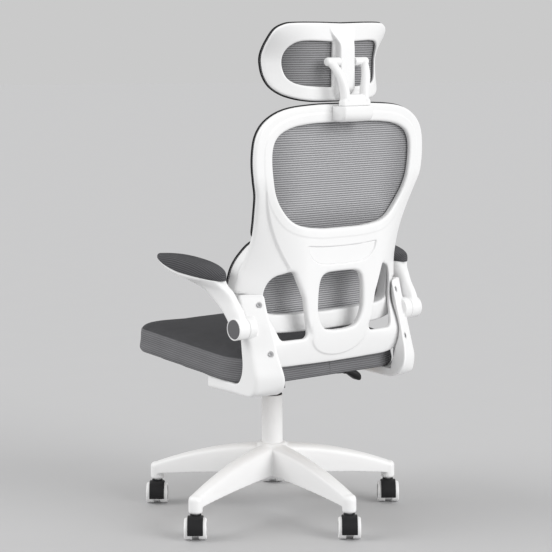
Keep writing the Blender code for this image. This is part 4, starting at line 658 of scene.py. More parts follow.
def net_sheet(half, high, low, surface, sizes, columns):
    """A net inside an outline: a Coons patch (x, z) at y = surface(x, z) + rib cos(2 pi z / pitch)."""
    half = np.asarray(half, float)
    upper = np.linalg.norm(half - high, axis=1).argmin()
    lower = np.linalg.norm(half - low, axis=1).argmin()
    rows = round(5.0 * (half[0, 1] - half[-1, 1]) / sizes.pitch)
    flip = np.array([-1.0, 1.0])
    top = even(np.vstack([(half[: upper + 1] * flip)[::-1], half[1 : upper + 1]]), columns)
    bottom = even(np.vstack([half[lower:] * flip, half[lower:][-2::-1]]), columns)
    right = even(half[upper : lower + 1][::-1], rows)
    patch = coons(bottom, top, right * flip, right)
    x, z = patch[..., 0], patch[..., 1]
    y = surface(x, z) + sizes.rib * np.cos(2.0 * np.pi * z / sizes.pitch)
    layers = [np.stack([x, y + side * sizes.thick / 2.0, z], axis=2) for side in (-1.0, 1.0)]
    count = rows * columns
    faces = [quads(rows, columns, False), quads(rows, columns, False)[:, ::-1] + count]
    index = np.arange(count).reshape(rows, columns)
    ring = np.concatenate([index[0, :-1], index[:-1, -1], index[-1, :0:-1], index[:0:-1, 0]])
    faces.append(np.stack([ring, ring + count, np.roll(ring, -1) + count, np.roll(ring, -1)], axis=1))
    u, v = np.linspace(0.0, 1.0, columns)[None, :], np.linspace(0.0, 1.0, rows)[:, None]
    # Painted shade: a mask that is 0 at the net's border and 1 inside, for the material to darken the net near
    # the frame
    border = np.minimum(np.minimum(u, 1.0 - u), np.minimum(v, 1.0 - v))
    spans = np.cross(np.roll(patch, -1, 1)[:-1, :-1] - patch[:-1, :-1], patch[1:, :-1] - patch[:-1, :-1])
    shape = np.vstack([layer.reshape(-1, 3) for layer in layers]), faces
    return shape, float(np.abs(spans).sum()), np.tile(eased(0.02, 0.30, border).ravel(), 2)


def hem(loop, surface, wide, deep):
    """P(s, a) = loop(s) + wide (cos a - 0.7) N(s), y = surface + deep sin a: the band round a net."""
    turn = full_turn(10)
    rings = [offset_loop(loop, wide * (math.cos(a) - 0.7)) for a in turn]
    y = surface(*loop.T)
    points = [section(ring, 1, y + deep * math.sin(a)) for ring, a in zip(rings, turn)]
    return loft(np.stack(points, axis=1), True)


def marked(mesh, name, values):
    """The mesh with a value for each point, for its material to read."""
    mesh.attributes.new(name, "FLOAT", "POINT").data.foreach_set("value", np.asarray(values, np.float32))
    return mesh


def points_of(mesh):
    """The places of a mesh's points, in the part's frame."""
    found = np.zeros(3 * len(mesh.vertices), np.float32)
    mesh.vertices.foreach_get("co", found)
    return found.reshape(-1, 3).astype(float)


def mesh_of(name, shape):
    """A mesh from points in the column's frame and lists of faces, welded and facing outwards."""
    points, faces = shape
    mesh = bpy.data.meshes.new(name)
    corner = np.concatenate([part.ravel() for part in faces]).astype(np.int32)
    size = np.concatenate([np.full(len(part), part.shape[1]) for part in faces])
    start = np.concatenate([[0], np.cumsum(size)[:-1]]).astype(np.int32)
    mesh.vertices.add(len(points))
    mesh.vertices.foreach_set("co", (points + COLUMN).astype(np.float32).ravel())
    mesh.loops.add(len(corner))
    mesh.loops.foreach_set("vertex_index", corner)
    mesh.polygons.add(len(size))
    mesh.polygons.foreach_set("loop_start", start)
    mesh.update(calc_edges=True)
    form = bmesh.new()
    form.from_mesh(mesh)
    bmesh.ops.remove_doubles(form, verts=form.verts, dist=2e-6)
    bmesh.ops.recalc_face_normals(form, faces=form.faces)
    form.to_mesh(mesh)
    form.free()
    return mesh


def assign(target, settings):
    """Sets several values of a modifier, a node or the like."""
    for key, value in settings.items():
        setattr(target, key, value)


def linked(name, data):
    """A new object in the scene."""
    obj = bpy.data.objects.new(name, data)
    bpy.context.scene.collection.objects.link(obj)
    return obj


def worked(name, mesh, steps):
    """The mesh after a list of modifiers, each a (type, settings) pair."""
    obj = linked(name, mesh)
    for kind, settings in steps:
        assign(obj.modifiers.new(kind.lower(), kind), settings)
    bpy.context.view_layer.update()
    made = bpy.data.meshes.new_from_object(obj.evaluated_get(bpy.context.evaluated_depsgraph_get()))
    bpy.data.objects.remove(obj)
    return made


def fused(name, shapes, voxel, passes):
    """One skin round closed forms that run into each other, eased so that their joins become fillets."""
    skin = ("REMESH", {"mode": "VOXEL", "voxel_size": voxel})
    ease = ("SMOOTH", {"factor": 0.5, "iterations": passes})
    return worked(name, mesh_of(name, together(*shapes)), [skin, ease])


def drilled(name, mesh, holes):
    """The mesh with round holes cut in it."""
    cutter = linked(f"{name}_drill", mesh_of(f"{name}_drill", together(*holes)))
    settings = {"operation": "DIFFERENCE", "solver": "EXACT", "object": cutter}
    made = worked(name, mesh, [("BOOLEAN", settings)])
    bpy.data.objects.remove(cutter)
    return made


def show(name, shape, look, body, stands_for=(), sharp=None):
    """A shown piece at the origin, riding on its CAD body, with its material and the nodes it stands for."""
    mesh = shape if isinstance(shape, bpy.types.Mesh) else mesh_of(name, shape)
    mesh.name = name
    mesh.materials.clear()
    mesh.materials.append(look)
    mesh.shade_smooth()
    if sharp:
        mesh.set_sharp_from_angle(angle=math.radians(sharp))
    obj = linked(name, mesh)
    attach(obj, body)
    if stands_for:
        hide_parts(*stands_for)
    return obj


class Graph:
    """A node tree being wired: new nodes, links between sockets and short sums."""

    def __init__(self, tree):
        self.tree = tree

    def add(self, kind, settings=None, **inputs):
        made = self.tree.nodes.new(kind)
        assign(made, settings or {})
        for key, value in inputs.items():
            self.feed(made.inputs[key.replace("_", " ")], value)
        return made

    def feed(self, socket, value):
        if isinstance(value, bpy.types.NodeSocket):
            self.tree.links.new(value, socket)
        else:
            socket.default_value = value

    def maths(self, operation, first, second=0.0):
        made = self.add("ShaderNodeMath", {"operation": operation})
        self.feed(made.inputs[0], first)
        self.feed(made.inputs[1], second)
        return made.outputs[0]

    def mix(self, share, first, second):
        made = self.add("ShaderNodeMix", {"data_type": "RGBA"})
        self.feed(made.inputs["Factor"], share)
        self.feed(made.inputs["A"], first)
        self.feed(made.inputs["B"], second)
        return next(socket for socket in made.outputs if socket.type == "RGBA")

    def line(self, value, scale, shift):
        """value x scale + shift"""
        return self.maths("ADD", self.maths("MULTIPLY", value, scale), shift)

    def around(self, noise, scale, shift):
        """(noise - 0.5) x scale + shift"""
        return self.line(self.maths("SUBTRACT", noise, 0.5), scale, shift)

    def scaled(self, tint, level):
        made = self.add("ShaderNodeVectorMath", {"operation": "SCALE"})
        self.feed(made.inputs[0], tint)
        self.feed(made.inputs["Scale"], level)
        return made.outputs[0]

    def mask(self, name):
        return self.add("ShaderNodeAttribute", {"attribute_name": name}).outputs["Fac"]

    def place(self):
        return self.add("ShaderNodeTexCoord").outputs["Object"]

    def noise(self, place, scale, detail):
        return self.add("ShaderNodeTexNoise", Vector=place, Scale=scale, Detail=detail).outputs["Fac"]

    def use(self, tree, **inputs):
        return self.add("ShaderNodeGroup", {"node_tree": tree}, **inputs).outputs


def group(name, inputs, outputs):
    """An empty node group with these sockets, and its input and output nodes; a tuple stands for a colour."""
    tree = bpy.data.node_groups.new(name, "ShaderNodeTree")
    for label, value in inputs.items():
        kind = "NodeSocketColor" if isinstance(value, tuple) else "NodeSocketFloat"
        tree.interface.new_socket(label, in_out="INPUT", socket_type=kind).default_value = value
    for label in outputs:
        kind = "NodeSocketColor" if label == "Colour" else "NodeSocketFloat"
        tree.interface.new_socket(label, in_out="OUTPUT", socket_type=kind)
    return Graph(tree), tree.nodes.new("NodeGroupInput").outputs, tree.nodes.new("NodeGroupOutput").inputs


def grain_group():
    """Moulded plastic: a faint cloud in its colour and roughness and a fine grain in its height."""
    found = bpy.data.node_groups.get("moulded_grain")
    if found:
        return found
    inputs = {"Colour": (0.8, 0.8, 0.8, 1.0), "Roughness": 0.4, "Spread": 0.04}
    graph, given, out = group("moulded_grain", inputs, ("Colour", "Roughness", "Height"))
    place = graph.place()
    cloud = graph.noise(place, 7.0, 3.0)
    fine = graph.noise(place, 1400.0, 1.0)
    graph.feed(out["Colour"], graph.scaled(given["Colour"], graph.around(cloud, given["Spread"], 1.0)))
    graph.feed(out["Roughness"], graph.around(fine, 0.10, given["Roughness"]))
    graph.feed(out["Height"], fine)
    return graph.tree


def knit_group():
    """Knitted net: thin light ribs along x, stitches between them, and pinholes in the ground; the ribs'
    lighter colour is partly their own and partly a painted highlight, the darker ground partly painted shade.
    """
    found = bpy.data.node_groups.get("ribbed_net")
    if found:
        return found
    inputs = {"Rib colour": (0.5, 0.5, 0.5, 1.0), "Ground colour": (0.2, 0.2, 0.2, 1.0)}
    inputs.update({"Pitch": 0.006, "Openness": 0.5, "Tone": 1.0})
    graph, given, out = group("ribbed_net", inputs, ("Colour", "Alpha", "Height"))
    place = graph.place()
    split = graph.add("ShaderNodeSeparateXYZ", Vector=place).outputs
    sway = graph.noise(place, 30.0, 1.0)
    phase = graph.maths("DIVIDE", split["Z"], given["Pitch"])
    phase = graph.around(sway, 0.12, phase)
    wave = graph.maths("COSINE", graph.maths("MULTIPLY", phase, 2.0 * math.pi))
    rib = graph.maths("POWER", graph.line(wave, 0.5, 0.5), 2.2)
    stitch = graph.maths("SINE", graph.maths("MULTIPLY", split["X"], 2.0 * math.pi / STITCH))
    stitch = graph.line(stitch, 0.5, 0.5)
    ribbed = graph.mix(rib, given["Ground colour"], given["Rib colour"])
    # Painted shade: the Shading input darkens the net's colour near its border and on darker copies of the net
    graph.feed(out["Colour"], graph.scaled(ribbed, given["Tone"]))
    hole = graph.maths("MULTIPLY", graph.maths("SUBTRACT", 1.0, rib), graph.maths("POWER", stitch, 2.0))
    graph.feed(out["Alpha"], graph.maths("SUBTRACT", 1.0, graph.maths("MULTIPLY", hole, given["Openness"])))
    graph.feed(out["Height"], graph.maths("ADD", rib, graph.maths("MULTIPLY", stitch, 0.3)))
    return graph.tree


def cloth_group():
    """Woven cloth: fine ribs across the height, a thread along them and a soft uneven tone."""
    found = bpy.data.node_groups.get("ribbed_cloth")
    if found:
        return found
    inputs = {"Colour": (0.1, 0.1, 0.1, 1.0), "Height along": 0.0, "Pitch": 0.004, "Contrast": 0.5}
    graph, given, out = group("ribbed_cloth", inputs, ("Colour", "Height"))
    place = graph.place()
    tone = graph.noise(place, 18.0, 4.0)
    fibre = graph.noise(place, 900.0, 2.0)
    turns = graph.maths("DIVIDE", given["Height along"], given["Pitch"])
    rib = graph.maths("COSINE", graph.maths("MULTIPLY", turns, 2.0 * math.pi))
    rib = graph.line(rib, 0.5, 0.5)
    level = graph.line(tone, 0.25, graph.maths("MULTIPLY", fibre, 0.35))
    level = graph.around(rib, given["Contrast"], graph.maths("ADD", level, 0.70))
    graph.feed(out["Colour"], graph.scaled(given["Colour"], level))
    graph.feed(out["Height"], graph.maths("ADD", rib, graph.maths("MULTIPLY", fibre, 0.5)))
    return graph.tree


def blank(name):
    """A new material, its graph and its shader."""
    made = bpy.data.materials.new(name)
    made.use_nodes = True
    return made, Graph(made.node_tree), made.node_tree.nodes["Principled BSDF"]


def bump(graph, shader, height, distance, strength):
    made = graph.add("ShaderNodeBump", Height=height, Distance=distance, Strength=strength)
    graph.feed(shader.inputs["Normal"], made.outputs["Normal"])


def moulded(name, tint, roughness, spread=0.04, metallic=0.0, mask=None, second=None, gloss=0.5):
    """A moulded or metal finish; where a mask attribute is given, it leads to a second colour."""
    found = bpy.data.materials.get(name)
    if found:
        return found
    made, graph, shader = blank(name)
    base = (*tint, 1.0)
    if mask:
        base = graph.mix(graph.mask(mask), base, (*second, 1.0))
    out = graph.use(grain_group(), Colour=base, Roughness=roughness, Spread=spread)
    graph.feed(shader.inputs["Base Color"], out["Colour"])
    graph.feed(shader.inputs["Roughness"], out["Roughness"])
    shader.inputs["Metallic"].default_value = metallic
    shader.inputs["Specular IOR Level"].default_value = gloss
    bump(graph, shader, out["Height"], 0.0002, 0.12)
    return made


def white_look():
    return moulded("white_plastic", bpy.context.scene.chair_colours.white, 0.36)


def black_look():
    return moulded("black_plastic", bpy.context.scene.chair_colours.black, 0.5, 0.3, gloss=0.22)


def steel_look():
    return moulded("turned_steel", bpy.context.scene.chair_colours.steel, 0.28, 0.1, 1.0)


def hem_look():
    return moulded("hem_black", (0.012, 0.012, 0.013), 0.8, 0.4, gloss=0.2)


def net_look(name="knitted_net", tone=1.0):
    """The knitted net; its mask "middle" leads from painted shade at the border, where the frame shades the
    net, to the full tone.
    """
    found = bpy.data.materials.get(name)
    if found:
        return found
    tints = bpy.context.scene.chair_colours
    made, graph, shader = blank(name)
    out = graph.use(
        knit_group(),
        Rib_colour=(*tints.net, 1.0),
        Ground_colour=(*tints.net_dark, 1.0),
        Pitch=bpy.context.scene.chair_net.pitch,
        Openness=0.85 * tone,
        Tone=graph.line(graph.mask("middle"), 0.42 * tone, 0.58 * tone),
    )
    graph.feed(shader.inputs["Base Color"], out["Colour"])
    graph.feed(shader.inputs["Alpha"], out["Alpha"])
    shader.inputs["Roughness"].default_value = 0.7
    shader.inputs["Specular IOR Level"].default_value = 0.3
    bump(graph, shader, out["Height"], 0.0005, 0.35)
    return made


def cloth_look(name, tint, pitch, contrast, slope, top=None, lengthwise=False):
    """Ribbed cloth with level or lengthwise ribs; the mask "top" leads to a colour and a plainer weave."""
    found = bpy.data.materials.get(name)
    if found:
        return found
    made, graph, shader = blank(name)
    split = graph.add("ShaderNodeSeparateXYZ", Vector=graph.place()).outputs
    height = graph.maths("ADD", split["Z"], graph.maths("MULTIPLY", split["Y"], math.tan(slope)))
    if lengthwise:
        height = graph.mask("across")
    out = graph.use(cloth_group(), Colour=(*tint, 1.0), Height_along=height, Pitch=pitch, Contrast=contrast)
    base, rise = out["Colour"], out["Height"]
    if top:
        share = graph.mask("top")
        weave = graph.use(
            cloth_group(), Colour=(*top, 1.0), Height_along=split["Y"], Pitch=0.0032, Contrast=0.22
        )
        base = graph.mix(share, base, weave["Colour"])
        rise = graph.mix(share, rise, weave["Height"])
    graph.feed(shader.inputs["Base Color"], base)
    shader.inputs["Roughness"].default_value = 0.9
    shader.inputs["Specular IOR Level"].default_value = 0.12
    bump(graph, shader, rise, 0.0010, 0.8)
    return made


def back_line(z):
    """Rear face of the back frame on the centre line: it leans back, and tucks forward towards its foot."""
    s = bpy.context.scene.chair_back
    below = np.maximum(0.0, s.middle - z) / (s.middle - s.foot)
    return s.rear + s.lean * (z - s.middle) - s.tuck * below**2


def back_wrap(x, z):
    """How far the frame bends forward at its sides, most at the waist."""
    s = bpy.context.scene.chair_back
    strength = s.ends + (s.waist - s.ends) * (eased(*WAIST_RISE, z) - eased(*WAIST_FALL, z))
    return strength * np.maximum(0.0, np.abs(x) - s.flat) ** 1.5


def crease_x(z):
    """Half width of the raised spine, where it steps down to the wings, bowed out a little on its way up."""
    z = np.asarray(z, float)
    way = np.clip((z - BOW_FOOT) / BOW_TALL, 0.0, 1.0)
    return CREASE_X + CREASE_SLOPE * (z - CREASE_Z) + 4.0 * CREASE_BOW * way * (1.0 - way)


def spine_distance(x, z):
    """Signed distance outside the spine's edge: |x| - crease(z) above its end, an ellipse's below it."""
    wide = float(crease_x(SPINE_END))
    below = np.minimum(0.0, z - SPINE_END) / SPINE_END_DEEP
    round_end = (np.hypot(x / wide, below) - 1.0) * SPINE_END_DEEP
    return np.where(z < SPINE_END, round_end, np.abs(x) - crease_x(z))


def back_rear(x, z):
    """y of the frame's rear: its line, less the wrap at the sides and the step outside the raised spine."""
    s = bpy.context.scene.chair_back
    tall = s.foot_step + (s.step - s.foot_step) * eased(*SPINE_RISE, z)
    step = eased(-CREASE_BLEND, CREASE_BLEND, spine_distance(x, z)) * tall * (1.0 - eased(*SPINE_FADE, z))
    return back_line(z) - back_wrap(x, z) - step


def back_front(x, z):
    """y of the frame's front: its rear line less its wall, which is thinner at the foot."""
    s = bpy.context.scene.chair_back
    wall = s.foot_wall + (s.wall - s.foot_wall) * eased(*WALL_RISE, z)
    return back_line(z) - back_wrap(x, z) - wall + s.step * eased(*SPINE_FADE, z)


def lumbar_rear(x, z):
    """Rear of the lumbar ring: the lesser of the frame's front, less a gap, and a flat limit."""
    s = bpy.context.scene.chair_net
    return np.minimum(back_front(x, z) - s.lumbar_gap, s.lumbar_flat)


def lumbar_front(x, z):
    """Front of the lumbar ring: the lesser of the wings' line and a flat one, blended over 20 mm."""
    s = bpy.context.scene.chair_net
    wings = back_front(x, np.maximum(z, LUMBAR_LEVEL)) - LUMBAR_STAND
    blend = np.hypot(wings - s.lumbar_flat, LUMBAR_BLEND)
    return 0.5 * (wings + s.lumbar_flat - blend) - s.lumbar_deep


def head_rear(x, z):
    """Rear face of the headrest: a scoop, deepest at mid height, whose sides come forward as x cubed."""
    s = bpy.context.scene.chair_head
    above = eased(s.middle, s.middle + s.rise, z)
    below = np.maximum(0.0, (s.middle - z) / s.drop)
    strength = s.sag + (s.sag_top - s.sag) * above + (s.sag_foot - s.sag) * below**2
    return s.rear + s.lean * (z - s.middle) - strength * np.abs(x) ** 3


def head_front(x, z):
    """Front face of the headrest: its rear less its wall."""
    return head_rear(x, z) - bpy.context.scene.chair_head.wall


def seat_under(y):
    """Height of the seat's underside, which falls towards the rear."""
    s = bpy.context.scene.chair_seat
    return s.under - np.asarray(y, float) * math.tan(s.slope)


def stretch_net(name, half, ends, surface, columns, loop, look, body, node, flat, shell):
    """A net stretched over a shell, with sides that run between two corners of its outline, and its hem."""
    s = bpy.context.scene.chair_net
    shape, area, middle = net_sheet(half, *ends, surface, s, columns)
    # The "middle" mask carries the painted shade along the net's border
    mesh = marked(mesh_of(name, shape), "middle", middle)
    net = show(name, mesh, look, body, [node])
    band = hem(loop, surface, s.hem_wide, s.hem_deep)
    border = show(f"{name}_hem", band, hem_look(), body)


def stood_off(surface):
    """The surface that a net lies on, in front of a frame's front."""
    stand = bpy.context.scene.chair_net.stand
    return lambda x, z: surface(x, z) - stand


class CHAIR_OT_back_frame(bpy.types.Operator):
    """Moulds the back frame: a rim round the upper window, a raised spine, wings and three low windows"""

    bl_idname = "chair.back_frame"
    bl_label = "Back frame"

    def execute(self, context):
        s = context.scene.chair_back
        side = np.vstack([curve_through(FRAME_SIDE, 8), curve_through(FRAME_FOOT, 8)])
        outline = spaced(mirrored_loop(side), 0.006)
        holes = [spaced(mirrored_loop(curve_through(half, 8)), 0.005) for half in (TOP_WINDOW, LOW_WINDOW)]
        window = spaced(rounded(SIDE_WINDOW, SIDE_WINDOW_RADII, 8), 0.004)
        holes += [window, window * (-1.0, 1.0)]
        belly = np.vstack([curve_through(RECESS_BROW, 8), curve_through(RECESS_BELLY, 8)[1:]])
        recess = spaced(mirrored_loop(belly), 0.004)
        rings = [offset_loop(recess, d) for d in RECESS_LINES] + [offset_loop(holes[0], d) for d in RIM_LINES]
        lines = [np.vstack([ring, ring[:1]]) for ring in rings]
        heights = np.arange(*CREASE_SPAN, 0.006)
        turn = np.radians(np.linspace(-82.0, 82.0, 30))
        for shift in CREASE_LINES:
            for mirror in (1.0, -1.0):
                lines.append(np.column_stack([mirror * (crease_x(heights) + shift), heights]))
            wide, deep = float(crease_x(SPINE_END)) + shift, SPINE_END_DEEP + shift
            lines.append(np.column_stack([wide * np.sin(turn), SPINE_END - deep * np.cos(turn)]))

        def rear(x, z):
            flat = np.column_stack([x, z])
            away = distance_to(flat, recess) * np.where(inside(flat, recess), 1.0, -1.0)
            fall = s.rim * eased(*RIM_FADE, distance_to(flat, holes[0]))
            fall = fall + s.recess * eased(-RECESS_BLEND, RECESS_BLEND, away)
            groove = eased(-GROOVE_HALF, -RECESS_BLEND, away) * (1.0 - eased(RECESS_BLEND, GROOVE_HALF, away))
            return back_rear(x, z) - fall - s.groove * groove

        shape = plate(outline, holes, back_front, rear, s.edge, s.cell, lines, 0.003)
        show("back_shell", shape, white_look(), "seat", ["back_frame"])
        return {"FINISHED"}


class CHAIR_OT_back_net(bpy.types.Operator):
    """Stretches the ribbed net over the upper window, with its dark hem"""

    bl_idname = "chair.back_net"
    bl_label = "Back net"

    def execute(self, context):
        side = curve_through(FRAME_SIDE, 8)
        half = np.vstack([side[side[:, 1] > 0.705], curve_through(NET_FOOT, 8)])
        ends = ((0.212, 0.955), (0.2145, 0.70))
        loop = spaced(mirrored_loop(half), 0.006)
        facts = {"body": "seat", "node": "back_mesh", "flat": (0.495, 0.30), "shell": "back_shell"}
        stretch_net("back_net", half, ends, stood_off(back_front), 56, loop, net_look(), **facts)
        return {"FINISHED"}


class CHAIR_OT_lumbar(bpy.types.Operator):
    """Builds the lumbar support: a deep ring behind its own net"""

    bl_idname = "chair.lumbar"
    bl_label = "Lumbar support"

    def execute(self, context):
        s = context.scene.chair_net
        half = curve_through(LUMBAR_SIDE, 8)
        outline = spaced(mirrored_loop(half), 0.007)
        window = spaced(offset_loop(spaced(mirrored_loop(half), 0.02), s.lumbar_band), 0.007)
        shape = plate(outline, [window], lumbar_front, lumbar_rear, 0.005, 0.010)
        show("lumbar_shell", shape, white_look(), "seat", ["lumbar_frame"])
        ends = ((0.203, 0.668), (0.207, 0.495))
        facts = {"body": "seat", "node": "lumbar_mesh", "flat": (0.47, 0.24), "shell": "lumbar_shell"}
        stretch_net("lumbar_net", half, ends, stood_off(lumbar_front), 64, outline, net_look(), **facts)
        return {"FINISHED"}


class CHAIR_OT_headrest(bpy.types.Operator):
    """Moulds the headrest's curved frame and its bar, and stretches the net over them"""

    bl_idname = "chair.headrest"
    bl_label = "Headrest"

    def execute(self, context):
        s = context.scene.chair_head
        half = curve_through(HEAD_SIDE, 8)
        outline = spaced(mirrored_loop(half), 0.005)
        window = spaced(curve_through(HEAD_WINDOW, 8), 0.004)
        frame_shape = plate(outline, [window, window * (-1.0, 1.0)], head_front, head_rear, s.edge, 0.006)
        rings = []
        for height in np.linspace(*BAR_ENDS, 40):
            rim = float(head_rear(0.0, height))
            proud = float(eased(*BAR_RISE, height) * (1.0 - eased(*BAR_FALL, height)))
            wide = s.bar * (1.0 + 0.9 * float(eased(*BAR_FLARE, height)))
            deep, root = rim + 0.0006 + (s.bar_rear - rim) * proud, rim - 0.006
            rings.append(section(box_ring(wide, root, deep, (0.0, 0.0, 0.003, 0.003), 5), 2, height))
        mesh = fused("headrest_shell", [frame_shape, loft(rings)], 0.0013, 6)
        show("headrest_shell", mesh, white_look(), "headrest", ["headrest_frame"])
        ends = ((0.1595, 1.149), (0.149, 1.0185))
        # A darker copy of the same net: painted shade on the headrest's net
        look = net_look("headrest_net_shaded", 0.66)
        facts = {"body": "headrest", "node": "headrest_mesh", "flat": (0.335, 0.175)}
        facts["shell"] = "headrest_shell"
        stretch_net("headrest_net", half, ends, stood_off(head_front), 56, outline, look, **facts)
        return {"FINISHED"}


class CHAIR_OT_fork(bpy.types.Operator):
    """Moulds the saddle on the frame's rim and the fork that carries the headrest"""

    bl_idname = "chair.fork"
    bl_label = "Headrest fork"

    def execute(self, context):
        s = context.scene.chair_head
        rings = []
        low, high = s.saddle_low, s.saddle_top
        stations = ((-1.0, 0.006), (-0.985, 0.003), (-0.94, 0.0008), (-0.86, 0.0))
        stations += tuple((-share, inset) for share, inset in stations[::-1])
        for share, inset in stations:
            near = [float(back_rear(0.0, z)) + GAP for z in (low + inset, high - 0.3 * inset)]
            corners = [(near[0], low + inset), (s.saddle_rear - inset, low + inset)]
            corners += [(s.saddle_rear - inset, high - 0.3 * inset), (near[1], high - 0.3 * inset)]
            ring = rounded(corners, (0.002, 0.019, 0.003, 0.002), 6)
            rings.append(section(ring, 0, share * s.saddle_half))
        slot = self.block(s.stem, [(low - 0.01, 0.0213, 0.0063), (high + 0.01, 0.0213, 0.0063)], 0.003)
        saddle = drilled("saddle_shell", mesh_of("saddle_shell", loft(rings)), [slot])
        show("saddle_shell", saddle, white_look(), "seat", ["headrest_saddle"], 40.0)

        shoulder = high + GAP
        web = [(0.0, 0.0395, 0.0095), (0.002, 0.0405, 0.0105), (0.010, 0.0395, 0.0105)]
        web += [(0.017, 0.0355, 0.0098), (0.022, 0.029, 0.0085), (0.025, 0.022, 0.006)]
        levels = [(shoulder + rise, half, thick) for rise, half, thick in web]
        tongue = [(low + 0.001, 0.021, 0.006), (shoulder + 0.01, 0.021, 0.006)]
        shapes = [self.block(s.stem, levels, 0.005), self.block(s.stem, tongue, 0.003)]
        inner = s.bar + 2.0 * GAP
        for _, side in SIDES:
            path = curve_through(
                [
                    (side * 0.0265, s.stem, shoulder + 0.012),
                    (side * 0.0295, s.stem - 0.001, s.middle - 0.060),
                    (side * 0.0360, s.fork + 0.003, s.middle - 0.034),
                    (side * 0.0435, 0.6 * s.fork + 0.4 * s.pin, s.middle - 0.013),
                    (side * 0.0485, s.pin, s.middle),
                ],
                10,
            )
            shapes.append(tube(path, np.linspace(0.0115, 0.0090, len(path)), 20))
            boss = [(0.0, inner), (0.0098, inner)]
            for turn in np.radians(np.linspace(0.0, 90.0, 6)):
                boss.append((0.0048 + 0.005 * math.cos(turn), s.fork_half - 0.005 * (1.0 - math.sin(turn))))
            boss.append((0.0, s.fork_half))
            shapes.append(turned(boss, side, 28, (0.0, s.pin, s.middle)))
        fork = fused("fork_shell", shapes, 0.0010, 6)
        show("fork_shell", fork, white_look(), "headrest_post", ["headrest_fork"])
        return {"FINISHED"}

    def block(self, middle, levels, corner):
        """A block of rounded sections about y = middle, each level (height, half width, half thickness)."""
        rings = []
        for height, half, thick in levels:
            radii = [min(corner, 0.9 * thick)] * 4
            rings.append(section(box_ring(half, middle - thick, middle + thick, radii, 5), 2, height))
        return loft(rings)


def seat_loop(count):
    """The cushion's outline in plan, at points an equal way apart."""
    s = bpy.context.scene.chair_seat
    radii = [s.front_corner, s.front_corner, s.rear_corner, s.rear_corner]
    return even(box_ring(s.half, s.front, s.rear, radii, 24), count, True)


def seat_rings(loop, steps):
    """Rings of the cushion, each (inset, scale towards the middle, height over the underside)."""
    s = bpy.context.scene.chair_seat
    centre = np.array([0.0, (s.front + s.rear) / 2.0])
    rings = []
    for inset, scale, height in steps:
        ring = centre + (offset_loop(loop, inset) - centre) * scale
        rings.append(section(ring, 2, seat_under(ring[:, 1]) + height))
    return rings


def puffed(name, mesh, strength, limit, pinned):
    """The mesh after its skin has been blown up a little as cloth; no point moves further than the limit."""
    voxel = bpy.context.scene.chair_seat.voxel
    skin = worked(name, mesh, [("REMESH", {"mode": "VOXEL", "voxel_size": voxel})])
    rest = points_of(skin)
    obj = linked(name, skin)
    held = obj.vertex_groups.new(name="held")
    held.add([int(k) for k in np.flatnonzero(pinned(rest))], 1.0, "REPLACE")
    step = obj.modifiers.new("puff", "CLOTH")
    stiff = {"tension_stiffness": 25.0, "compression_stiffness": 25.0, "bending_stiffness": 1.5}
    blown = {"use_pressure": True, "uniform_pressure_force": strength, "vertex_group_mass": "held"}
    assign(step.settings, {"quality": 4, "mass": 0.3, **stiff, **blown})
    step.settings.effector_weights.gravity = 0.0
    step.collision_settings.use_collision = False
    scene = bpy.context.scene
    step.point_cache.frame_start, step.point_cache.frame_end = 1, PUFF_STEPS
    for number in range(1, PUFF_STEPS + 1):
        scene.frame_set(number)
    graph = bpy.context.evaluated_depsgraph_get()
    made = bpy.data.meshes.new_from_object(obj.evaluated_get(graph))
    scene.frame_set(1)
    bpy.data.objects.remove(obj)
    way = points_of(made) - rest
    size = np.linalg.norm(way, axis=1)[:, None]
    moved = rest + way * np.minimum(1.0, limit / np.maximum(size, 1e-9))
    made.vertices.foreach_set("co", moved.astype(np.float32).ravel())
    made.update()
    return made


